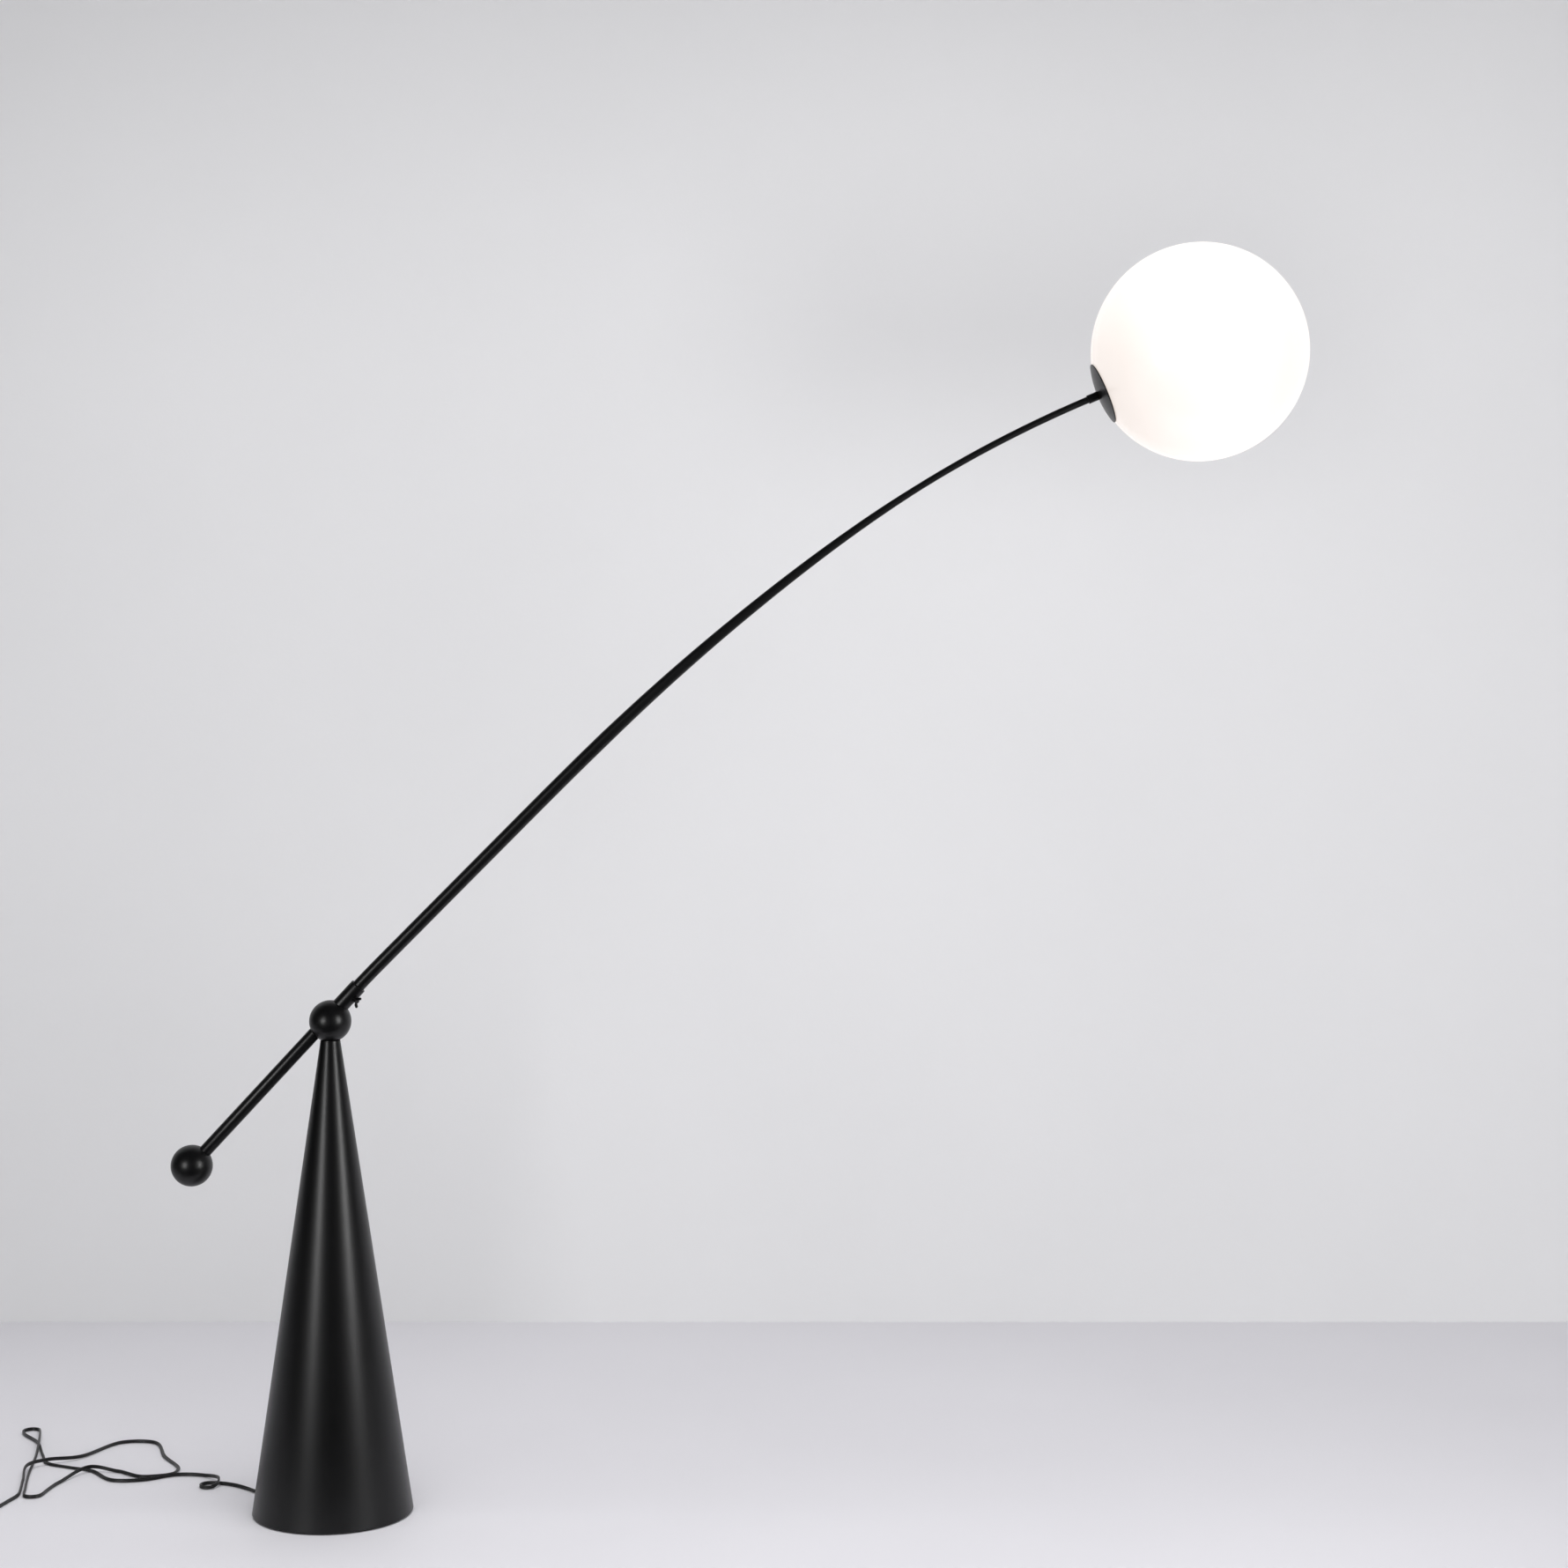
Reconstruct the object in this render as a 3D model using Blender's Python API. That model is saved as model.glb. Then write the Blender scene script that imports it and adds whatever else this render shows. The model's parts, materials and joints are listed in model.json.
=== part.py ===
"""An arc floor lamp: a tall cone base, a ball joint, a counterweighted bent arm and an opal glass globe.

Metres, +Z up. The origin is the centre of the base's underside, on the floor. The arm reaches towards +X.
"""

import math

import bmesh
import bpy
from mathutils import Matrix, Vector

# Clearances
GAP = 0.0003
RUN = 0.0005

# Cone base
CONE_APEX_Z = 0.7561
CONE_SLOPE = 0.14845
CONE_WALL = 0.002
CONE_FOOT_Z = 0.0023
CONE_RIM_Z = 0.6642
PAD_THICK = 0.002
PLATE_THICK = 0.005
PLATE_RADIUS = 0.1086
BALLAST_TOP = 0.122
BALLAST_BORE = 0.018
BALLAST_LID = 0.025
SCREW_CIRCLE = 0.070
SCREW_RADIUS = 0.0040
SCREW_HEAD = 0.0076
SCREW_LENGTH = 0.0245
SCREW_ROOM = 0.0004
NUT_RADIUS = 0.011
NUT_HEIGHT = 0.007
BLOCK_LOW = 0.042
BLOCK_HIGH = 0.062

# Cable outlet in the cone
OUTLET_ANGLE = math.radians(145)
OUTLET_Z = 0.0145
OUTLET_HOLE = 0.0046
RELIEF_LENGTH = 0.030
GRIP = 0.0035
TAIL_Z = 0.0042

# Neck and swivel
TUBE_OUTER = 0.0065
TUBE_INNER = 0.005
NECK_LOW = 0.612
NECK_TOP = 0.656
SPIGOT_RADIUS = 0.007
SPIGOT_BORE = 0.004
COLLAR_RADIUS = 0.0116
COLLAR_TOP = 0.6608

# Ball joint
JOINT_Z = 0.6907
BALL_RADIUS = 0.02925
PIVOT_RADIUS = 0.004
TONGUE_LOW_Y = -0.0076
TONGUE_HIGH_Y = -0.0016
TONGUE_HALF = 0.0040
EYE_RADIUS = 0.0093
EYE_ROOM = 0.0103
SLOT_LOW_Y = -0.0094
SLOT_HIGH_Y = 0.0070
TILT_UP = math.radians(5)
TILT_DOWN = math.radians(18)

# Straight part of the arm assembly, along one axis that passes above the joint's centre
AXIS_ANGLE = math.radians(47.08)
AXIS_OFFSET = 0.0045
SOCKET_DEPTH = 0.0142
ROD_RADIUS = 0.009
ROD_WALL = 0.0015
WEIGHT_DISTANCE = 0.2812
WEIGHT_RADIUS = 0.029
ROD_SEAT = 0.0255
SLEEVE_RADIUS = 0.0115
SLEEVE_END = 0.063

# Wing screw in the sleeve
WING_AT = 0.0475
WING_TURN = math.radians(35)
BOSS_TOP = 0.0136
WING_SPAN = 0.0172
WING_SPIN = math.radians(26)
WING_THICK = 0.0032
SHANK_RADIUS = 0.0020
SHANK_ROOM = 0.0023

# Bent arm, measured from the sleeve's end
ARM_LENGTH = 1.309
ARM_START = 0.020
ARM_END_RADIUS = 0.0047
ARM_WALL = 0.0012
TAPER_START = 0.484
TAPER_END = 1.050
BENDS = (
    (0.0, 1.129), (0.060, 0.0), (0.300, 0.0), (0.550, 0.324), (0.800, 0.303), (1.050, 0.620), (1.309, 0.547),
)

# Globe and what carries it, measured from the globe's centre along its axis
GLOBE_RADIUS = 0.150
GLOBE_WALL = 0.002
GLOBE_FROM_ARM = 0.1683
DISH_RADIUS = 0.152
GALLERY_RADIUS = 0.0356
GALLERY_WALL = 0.0030
GALLERY_RIM = -0.1340
NIPPLE_ROOM = 0.0053
DISH_THICK = 0.0015
DISH_HALF_ANGLE = math.radians(16.4)
MOUTH_X = -0.1446
THREAD_RADIUS = 0.036
LIP_END = -0.132

# Mains cord: a flat twin lead, 5.4 mm wide
CORD_RADIUS = 0.0027
LIE = 0.0028
OVER = 0.0088
ROUTE = (
    (-0.1420, 0.1040, LIE), (-0.1700, 0.1225, LIE), (-0.1953, 0.1294, LIE), (-0.2046, 0.1282, LIE),
    (-0.2104, 0.1207, LIE), (-0.2092, 0.1113, LIE), (-0.2017, 0.1056, LIE), (-0.1924, 0.1068, 0.0032),
    (-0.1866, 0.1143, 0.0056), (-0.1868, 0.1300, OVER), (-0.1960, 0.1490, 0.0064), (-0.2160, 0.1675, LIE),
    (-0.2580, 0.1710, LIE), (-0.3000, 0.1450, LIE), (-0.3450, 0.1430, LIE), (-0.3880, 0.1930, LIE),
    (-0.4250, 0.2120, LIE), (-0.4630, 0.2330, LIE), (-0.4810, 0.2750, LIE), (-0.5080, 0.3450, LIE),
    (-0.5390, 0.3890, LIE), (-0.5463, 0.4072, LIE), (-0.5435, 0.4164, LIE), (-0.5350, 0.4209, LIE),
    (-0.5258, 0.4178, LIE), (-0.5216, 0.4091, 0.0038), (-0.5060, 0.3500, OVER), (-0.4900, 0.2700, LIE),
    (-0.4740, 0.1700, LIE), (-0.4575, 0.0900, LIE), (-0.4540, 0.0716, LIE), (-0.4498, 0.0630, LIE),
    (-0.4409, 0.0595, LIE), (-0.4320, 0.0631, LIE), (-0.4280, 0.0718, LIE), (-0.4265, 0.0880, LIE),
    (-0.4180, 0.1350, LIE), (-0.3890, 0.1910, OVER), (-0.3500, 0.1900, LIE), (-0.3050, 0.1610, LIE),
    (-0.2680, 0.1760, LIE), (-0.2620, 0.2050, LIE), (-0.2960, 0.2680, LIE), (-0.3300, 0.3450, LIE),
    (-0.3780, 0.3450, LIE), (-0.4220, 0.2620, 0.0040), (-0.4620, 0.2290, OVER), (-0.4835, 0.2020, OVER),
    (-0.4752, 0.1450, LIE), (-0.4642, 0.0900, LIE), (-0.4615, 0.0680, LIE), (-0.4680, 0.0350, LIE),
    (-0.4745, 0.0050, LIE),
)

# Foot switch, coil and plug, beyond the cord's loose part
SWITCH_AT = Vector((-0.492, -0.090, 0.0))
SWITCH_HEADING = math.radians(-100)
SWITCH_LENGTH = 0.076
SWITCH_WIDTH = 0.032
SWITCH_SPLIT = 0.0115
SWITCH_TOP = 0.0205
BUTTON_RADIUS = 0.0115
BUTTON_TOP = 0.0245
BOOT_LENGTH = 0.022
BOOT_Z = 0.0075
COIL_AT = Vector((-0.520, 0.030, 0.0))
COIL_RADIUS = 0.030
COIL_HALF = 0.0056
COIL_HEIGHT = 0.0112
LEAD_IN = (
    (-0.5065, -0.1720, LIE), (-0.5280, -0.1870, LIE), (-0.5500, -0.1720, LIE), (-0.5565, -0.1300, LIE),
    (-0.5545, -0.0700, LIE), (-0.5530, -0.0200, LIE),
)
PLUG_AT = Vector((-0.558, 0.158, 0.0075))
PLUG_HEADING = math.radians(95)
PLUG_BOOT = 0.020


# Materials

def material(name, color, roughness, metallic=0.0):
    mat = bpy.data.materials.get(name)
    if mat:
        return mat
    mat = bpy.data.materials.new(name)
    mat.use_nodes = True
    shader = mat.node_tree.nodes["Principled BSDF"]
    shader.inputs["Base Color"].default_value = (*color, 1.0)
    shader.inputs["Roughness"].default_value = roughness
    shader.inputs["Metallic"].default_value = metallic
    return mat


def powder_black():
    return material("powder_black", (0.012, 0.012, 0.013), 0.45)


def steel():
    return material("zinc_steel", (0.55, 0.56, 0.58), 0.35, 1.0)


def cast_iron():
    return material("cast_iron", (0.09, 0.09, 0.095), 0.7, 0.6)


def brass():
    return material("brass", (0.72, 0.55, 0.28), 0.3, 1.0)


def black_pvc():
    return material("black_pvc", (0.015, 0.015, 0.016), 0.5)


def black_plastic():
    return material("black_plastic", (0.02, 0.02, 0.021), 0.4)


def rubber():
    return material("black_rubber", (0.02, 0.02, 0.02), 0.8)


def nylon():
    return material("nylon", (0.75, 0.74, 0.70), 0.5)


def white_plastic():
    return material("white_plastic", (0.85, 0.85, 0.84), 0.4)


def opal_glass():
    return material("opal_glass", (0.93, 0.92, 0.90), 0.15)


# Frames

def clear_scene():
    for obj in list(bpy.data.objects):
        bpy.data.objects.remove(obj, do_unlink=True)


def frame(name, matrix, parent=None):
    """An empty whose axes its pieces are placed on."""
    empty = bpy.data.objects.new(name, None)
    bpy.context.scene.collection.objects.link(empty)
    empty.parent = parent
    empty.matrix_local = matrix
    return empty


def shift(x=0.0, y=0.0, z=0.0):
    return Matrix.Translation((x, y, z))


def turn(angle, axis):
    return Matrix.Rotation(angle, 4, axis)


ALONG_X = turn(math.pi / 2, "Y")
ALONG_Y = turn(-math.pi / 2, "X")


# Shapes

def finish(name, bm, mat, parent, local):
    bmesh.ops.recalc_face_normals(bm, faces=bm.faces)
    mesh = bpy.data.meshes.new(name)
    bm.to_mesh(mesh)
    bm.free()
    mesh.materials.append(mat)
    mesh.shade_smooth()
    mesh.set_sharp_from_angle(angle=math.radians(35))
    obj = bpy.data.objects.new(name, mesh)
    bpy.context.scene.collection.objects.link(obj)
    obj.parent = parent
    obj.matrix_local = local
    return obj


def lathe(name, profile, mat, parent, local=Matrix(), segments=32):
    """A turned piece about local Z; its profile of (radius, height) closes on itself or on the axis."""
    bm = bmesh.new()
    rings = []
    for radius, height in profile:
        if radius < 1e-7:
            rings.append([bm.verts.new((0.0, 0.0, height))])
            continue
        ring = []
        for step in range(segments):
            angle = 2 * math.pi * step / segments
            ring.append(bm.verts.new((radius * math.cos(angle), radius * math.sin(angle), height)))
        rings.append(ring)
    for low, high in zip(rings, rings[1:] + rings[:1]):
        if len(low) == 1 and len(high) == 1:
            continue
        for step in range(segments):
            after = (step + 1) % segments
            corners = [low[step % len(low)], low[after % len(low)],
                       high[after % len(high)], high[step % len(high)]]
            bm.faces.new(list(dict.fromkeys(corners)))
    return finish(name, bm, mat, parent, local)


def rod_profile(radius, low, high, chamfer=0.0004):
    return [(0, low), (radius - chamfer, low), (radius, low + chamfer),
            (radius, high - chamfer), (radius - chamfer, high), (0, high)]


def tube_profile(outer, inner, low, high, chamfer=0.0):
    if not chamfer:
        return [(inner, low), (outer, low), (outer, high), (inner, high)]
    return [(inner, low), (outer - chamfer, low), (outer, low + chamfer),
            (outer, high - chamfer), (outer - chamfer, high), (inner, high)]


def ball_profile(radius, steps, start=0.0, end=math.pi):
    """Points down the outside of a ball from one polar angle to another."""
    points = []
    for step in range(steps + 1):
        angle = start + (end - start) * step / steps
        points.append((max(0.0, radius * math.sin(angle)), radius * math.cos(angle)))
    return points


def prism(name, outline, low, high, mat, parent, local=Matrix(), bevel=0.0):
    """An outline in local XY, raised from low to high."""
    bm = bmesh.new()
    floor = [bm.verts.new((x, y, low)) for x, y in outline]
    face = bm.faces.new(floor)
    moved = bmesh.ops.extrude_face_region(bm, geom=[face])["geom"]
    for vert in (item for item in moved if isinstance(item, bmesh.types.BMVert)):
        vert.co.z = high
    if bevel:
        edges = [edge for edge in bm.edges if abs(edge.verts[0].co.z - edge.verts[1].co.z) < 1e-7]
        bmesh.ops.bevel(bm, geom=edges, offset=bevel, segments=2, affect="EDGES", clamp_overlap=True)
    return finish(name, bm, mat, parent, local)


def rounded_rectangle(length, width, radius, steps=4):
    points = []
    for corner, (sx, sy) in enumerate(((1, 1), (-1, 1), (-1, -1), (1, -1))):
        centre_x = sx * (length / 2 - radius)
        centre_y = sy * (width / 2 - radius)
        for step in range(steps + 1):
            angle = math.pi / 2 * (corner + step / steps)
            points.append((centre_x + radius * math.cos(angle), centre_y + radius * math.sin(angle)))
    return points


def circle(radius, steps, x=0.0, y=0.0):
    return [(x + radius * math.cos(2 * math.pi * k / steps), y + radius * math.sin(2 * math.pi * k / steps))
            for k in range(steps)]


def side_rings(points):
    """A frame that doesn't twist at each point of a path: (point, side, up)."""
    tangents = []
    for i in range(len(points)):
        before = points[max(0, i - 1)]
        after = points[min(len(points) - 1, i + 1)]
        tangents.append((after - before).normalized())
    side = tangents[0].cross(Vector((0.0, 0.0, 1.0)))
    if side.length < 1e-3:
        side = tangents[0].cross(Vector((0.0, 1.0, 0.0)))
    side.normalize()
    rings = []
    for i, point in enumerate(points):
        side = (side - tangents[i] * side.dot(tangents[i])).normalized()
        rings.append((point, side, tangents[i].cross(side)))
    return rings


def sweep(name, points, radii, mat, parent, local=Matrix(), sides=12, inner=None):
    """A round bar along a path, or a tube where inner radii are given."""
    bm = bmesh.new()
    frames = side_rings(points)

    def skin(sizes):
        rings = []
        for (point, side, up), radius in zip(frames, sizes):
            ring = []
            for k in range(sides):
                angle = 2 * math.pi * k / sides
                ring.append(bm.verts.new(point + (side * math.cos(angle) + up * math.sin(angle)) * radius))
            rings.append(ring)
        for low, high in zip(rings, rings[1:]):
            for k in range(sides):
                after = (k + 1) % sides
                bm.faces.new((low[k], low[after], high[after], high[k]))
        return rings

    outside = skin(radii)
    if inner is None:
        bm.faces.new(outside[0])
        bm.faces.new(outside[-1])
    else:
        inside = skin(inner)
        for end in (0, -1):
            for k in range(sides):
                after = (k + 1) % sides
                bm.faces.new((outside[end][k], outside[end][after], inside[end][after], inside[end][k]))
    return finish(name, bm, mat, parent, local)


def helper(obj):
    obj.hide_render = True
    obj.display_type = "WIRE"
    return obj


def cut(target, cutter, operation="DIFFERENCE"):
    helper(cutter)
    modifier = target.modifiers.new(cutter.name, "BOOLEAN")
    modifier.operation = operation
    modifier.object = cutter
    modifier.solver = "EXACT"
    return target


def smooth_path(route, bend_step=math.radians(34), longest=0.045):
    """Points on a centripetal Catmull-Rom curve through a route, closer together where it bends."""
    ends = [2 * route[0] - route[1], *route, 2 * route[-1] - route[-2]]
    path = [route[0]]
    for p0, p1, p2, p3 in zip(ends, ends[1:], ends[2:], ends[3:]):
        t1 = (p1 - p0).length ** 0.5
        t2 = t1 + (p2 - p1).length ** 0.5
        t3 = t2 + (p3 - p2).length ** 0.5

        def at(t):
            a1 = p0 * ((t1 - t) / t1) + p1 * (t / t1)
            a2 = p1 * ((t2 - t) / (t2 - t1)) + p2 * ((t - t1) / (t2 - t1))
            a3 = p2 * ((t3 - t) / (t3 - t2)) + p3 * ((t - t2) / (t3 - t2))
            b1 = a1 * ((t2 - t) / t2) + a2 * (t / t2)
            b2 = a2 * ((t3 - t) / (t3 - t1)) + a3 * ((t - t1) / (t3 - t1))
            return b1 * ((t2 - t) / (t2 - t1)) + b2 * ((t - t1) / (t2 - t1))

        bend = (at(t1 + 0.05 * (t2 - t1)) - p1).angle(p2 - at(t2 - 0.05 * (t2 - t1)))
        steps = max(1, round(bend / bend_step + (p2 - p1).length / longest))
        path += [at(t1 + (t2 - t1) * (k + 1) / steps) for k in range(steps)]
    return path


def lying(points):
    """The same path, kept from dipping into the floor between its route's points."""
    return [Vector((point.x, point.y, max(point.z, LIE))) for point in points]


def cord(name, points, parent):
    """A plain round lead through the points, as a bevelled curve with its ends capped."""
    curve = bpy.data.curves.new(name, "CURVE")
    curve.dimensions = "3D"
    curve.bevel_depth = CORD_RADIUS
    curve.bevel_resolution = 2
    curve.use_fill_caps = True
    spline = curve.splines.new("POLY")
    spline.points.add(len(points) - 1)
    for place, point in zip(spline.points, points):
        place.co = (*point, 1.0)
    curve.materials.append(black_pvc())
    obj = bpy.data.objects.new(name, curve)
    bpy.context.scene.collection.objects.link(obj)
    obj.parent = parent
    return obj


# Base

def cone_radius(z):
    return CONE_SLOPE * (CONE_APEX_Z - z)


def cone_inside(z):
    return cone_radius(z) - CONE_WALL


def cone_shell(base):
    foot = CONE_FOOT_Z
    profile = [
        (cone_radius(CONE_RIM_Z), CONE_RIM_Z - 0.0002),
        (cone_radius(0.335), 0.335),
        (cone_radius(foot + 0.003), foot + 0.003),
        (cone_radius(foot) - 0.0005, foot + 0.001),
        (cone_radius(foot) - 0.0014, foot),
        (cone_inside(foot), foot),
        (cone_inside(0.335), 0.335),
        (cone_inside(CONE_RIM_Z), CONE_RIM_Z - 0.0013),
    ]
    shell = lathe("cone_shell", profile, powder_black(), base, segments=36)
    outlet = turn(OUTLET_ANGLE, "Z") @ shift(z=OUTLET_Z) @ ALONG_X
    hole = lathe("outlet_cutter", [(0, 0.09), (OUTLET_HOLE, 0.09), (OUTLET_HOLE, 0.13), (0, 0.13)],
                 steel(), base, outlet, 16)
    cut(shell, hole)


def floor_pad(base):
    lathe("floor_pad", rod_profile(PLATE_RADIUS, 0.0, PAD_THICK), rubber(), base, segments=30)


def screw_angles():
    return [OUTLET_ANGLE + math.radians(60 + 120 * k) for k in range(3)]


def base_plate(base):
    low = CONE_FOOT_Z
    plate = lathe("base_plate", rod_profile(PLATE_RADIUS, low, low + PLATE_THICK), steel(), base, segments=30)
    room = SCREW_RADIUS + SCREW_ROOM
    room_top = PLATE_THICK + 0.0003
    hole = [(0, -0.001), (SCREW_HEAD + 0.0006, -0.001), (SCREW_HEAD + 0.0006, 0.0003), (room, 0.0043),
            (room, room_top), (0, room_top)]
    screw = [(0, 0.0002), (SCREW_HEAD, 0.0002), (SCREW_HEAD, 0.0006), (SCREW_RADIUS, 0.0042),
             (SCREW_RADIUS, SCREW_LENGTH - 0.0005), (0, SCREW_LENGTH)]
    for k, angle in enumerate(screw_angles()):
        place = turn(angle, "Z") @ shift(x=SCREW_CIRCLE, z=low)
        cut(plate, lathe(f"plate_cutter_{k + 1}", hole, steel(), base, place, 16))
        lathe(f"plate_screw_{k + 1}", screw, steel(), base, place, 12)


def ballast(base):
    low = CONE_FOOT_Z + PLATE_THICK + GAP
    lid = BALLAST_TOP - BALLAST_LID
    slack = 0.0008
    profile = [
        (TUBE_OUTER + GAP, BALLAST_TOP),
        (cone_inside(BALLAST_TOP) - slack - 0.002, BALLAST_TOP),
        (cone_inside(BALLAST_TOP - 0.002) - slack, BALLAST_TOP - 0.002),
        (cone_inside(low) - slack, low),
        (BALLAST_BORE, low),
        (BALLAST_BORE, lid),
        (TUBE_OUTER + GAP, lid),
    ]
    weight = lathe("ballast", profile, cast_iron(), base, segments=30)
    channel = prism("channel_cutter", [(0.0, -0.008), (0.13, -0.008), (0.13, 0.008), (0.0, 0.008)],
                    low - 0.002, 0.027, steel(), base, turn(OUTLET_ANGLE, "Z"))
    cut(weight, channel)
    screw_room = rod_profile(SCREW_RADIUS + SCREW_ROOM, 0.0, SCREW_LENGTH + 0.0025)
    for k, angle in enumerate(screw_angles()):
        place = turn(angle, "Z") @ shift(x=SCREW_CIRCLE, z=CONE_FOOT_Z)
        cut(weight, lathe(f"ballast_cutter_{k + 1}", screw_room, steel(), base, place, 12))


def hexagon(radius):
    return circle(radius, 6)


def hex_nut(name, radius, bore, low, high, mat, parent, local=Matrix()):
    nut = prism(name, hexagon(radius), low, high, mat, parent, local)
    below = low - 0.002
    above = high + 0.002
    outline = [(0, below), (bore, below), (bore, above), (0, above)]
    hole = lathe(name + "_cutter", outline, mat, parent, local, 20)
    return cut(nut, hole)


def centre_column(base):
    lid = BALLAST_TOP - BALLAST_LID
    lathe("centre_tube", tube_profile(TUBE_OUTER, TUBE_INNER, lid - 0.012, NECK_LOW + 0.0157),
          steel(), base, segments=20)
    bore = TUBE_OUTER + GAP
    low = BALLAST_TOP + GAP
    hex_nut("tube_nut_lower", NUT_RADIUS, bore, lid - GAP - NUT_HEIGHT, lid - GAP, steel(), base)
    hex_nut("tube_nut_upper", NUT_RADIUS, bore, low, low + NUT_HEIGHT, steel(), base)


def neck(base):
    socket = NECK_LOW + 0.016
    seat = NECK_LOW + 0.020
    profile = [
        (SPIGOT_RADIUS + GAP, NECK_TOP),
        (cone_inside(NECK_TOP) - GAP, NECK_TOP),
        (cone_inside(NECK_LOW) - GAP, NECK_LOW),
        (TUBE_OUTER + GAP, NECK_LOW),
        (TUBE_OUTER + GAP, socket),
        (0.0048, socket),
        (0.0048, seat),
        (SPIGOT_RADIUS + GAP, seat),
    ]
    plug = lathe("neck_plug", profile, steel(), base, segments=24)
    across = shift(z=0.645) @ ALONG_Y
    cut(plug, lathe("grub_cutter", rod_profile(0.0023, 0.004, 0.030), steel(), base, across, 12))
    lathe("swivel_grub_screw", rod_profile(0.0020, 0.0058, 0.0136), steel(), base, across, 12)
    washer = tube_profile(cone_inside(NECK_TOP + 0.001) - GAP, SPIGOT_RADIUS + GAP,
                          NECK_TOP + GAP, NECK_TOP + 0.0013)
    lathe("swivel_washer", washer, nylon(), base, segments=24)


def outlet_point(distance):
    """Where the lead's middle is, at a distance outside the cone's wall: level first, then down."""
    fall = min(1.0, max(0.0, distance - GRIP) / (RELIEF_LENGTH - GRIP))
    drop = (OUTLET_Z - TAIL_Z) * (3 * fall ** 2 - 2 * fall ** 3)
    return Vector((cone_radius(OUTLET_Z) + distance, 0.0, OUTLET_Z - drop))


def cable_outlet(base):
    """A moulded grommet: a flange inside the wall, a waist in its hole and a tapered tail outside."""
    stations = [(-0.0065, 0.0060), (-0.0034, 0.0060), (-0.0033, 0.0042), (0.0012, 0.0042), (0.0013, 0.0056),
                (0.0026, 0.0056)]
    tail = 7
    for k in range(1, tail + 1):
        distance = 0.0026 + (RELIEF_LENGTH - 0.0026) * k / tail
        stations.append((distance, 0.0056 + (0.0034 - 0.0056) * (k / tail) ** 0.8))
    points = [outlet_point(distance) for distance, _ in stations]
    sweep("cable_gland", points, [radius for _, radius in stations], rubber(), base,
          turn(OUTLET_ANGLE, "Z"), 14)


def inner_cables(base):
    """The lead inside the base: from the outlet to the terminal block, then up to the neck."""
    wall = cone_radius(OUTLET_Z)
    stops = ((wall - 0.0070, OUTLET_Z), (0.060, 0.0125), (0.028, 0.0125), (0.010, 0.016), (0.002, 0.028),
             (0.0, BLOCK_LOW - 0.0008))
    lead = smooth_path([Vector((x, 0, z)) for x, z in stops])
    sweep("base_cable", lead, [CORD_RADIUS] * len(lead), black_pvc(), base, turn(OUTLET_ANGLE, "Z"), 8)
    block = rounded_rectangle(0.020, 0.015, 0.002, 2)
    prism("terminal_block", block, BLOCK_LOW, BLOCK_HIGH, white_plastic(), base)
    rise = [Vector((0, 0, z)) for z in (BLOCK_HIGH + 0.0003, 0.30, NECK_TOP - 0.024)]
    sweep("base_lead", rise, [0.0022] * len(rise), black_pvc(), base, Matrix(), 8)


# Swivel

def swivel(axis):
    """A hollow spigot that turns in the neck, with a flat tongue that carries the pivot."""
    low = NECK_LOW + 0.0203 - JOINT_Z
    collar = NECK_TOP + 0.0016 - JOINT_Z
    top = COLLAR_TOP - JOINT_Z
    groove = 0.645 - JOINT_Z
    profile = [
        (0, top), (COLLAR_RADIUS - 0.0005, top), (COLLAR_RADIUS, top - 0.0005), (COLLAR_RADIUS, collar),
        (SPIGOT_RADIUS, collar), (SPIGOT_RADIUS, groove + 0.003), (0.0055, groove + 0.003),
        (0.0055, groove - 0.003), (SPIGOT_RADIUS, groove - 0.003), (SPIGOT_RADIUS, low + 0.0005),
        (SPIGOT_RADIUS - 0.0005, low), (SPIGOT_BORE, low), (SPIGOT_BORE, collar - 0.0005),
        (0, collar - 0.0005),
    ]
    yoke = lathe("swivel_yoke", profile, steel(), axis, segments=20)
    rise = math.asin(TONGUE_HALF / EYE_RADIUS)
    outline = [(-TONGUE_HALF, -(top - 0.001)), (TONGUE_HALF, -(top - 0.001))]
    for step in range(17):
        angle = math.pi / 2 - rise - (2 * math.pi - 2 * rise) * step / 16
        outline.append((EYE_RADIUS * math.cos(angle), EYE_RADIUS * math.sin(angle)))
    across = turn(-math.pi / 2, "X")
    tongue = prism("tongue_joiner", outline, TONGUE_LOW_Y, TONGUE_HIGH_Y, steel(), axis, across)
    cut(yoke, tongue, "UNION")
    eye = lathe("eye_cutter", rod_profile(PIVOT_RADIUS + GAP, -0.02, 0.02), steel(), axis, ALONG_Y, 16)
    cut(yoke, eye)
    wire_room = rod_profile(0.0020, -0.045, top + 0.003)
    cut(yoke, lathe("wire_cutter", wire_room, steel(), axis, shift(y=0.0022), 12))


# Ball, rod, counterweight and sleeve: local X is the arm's axis, and the origin is the joint's centre

def slot_outline(down, half, reach):
    """The room that the tongue sweeps in the ball, with a straight side at each limit of the tilt."""
    points = []
    for angle, side in ((down - TILT_DOWN, -half), (down + TILT_UP, half)):
        edge = [(r * math.cos(angle) - side * math.sin(angle), r * math.sin(angle) + side * math.cos(angle))
                for r in (0.0, reach)]
        points += edge if side < 0 else edge[::-1]
    return points


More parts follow.
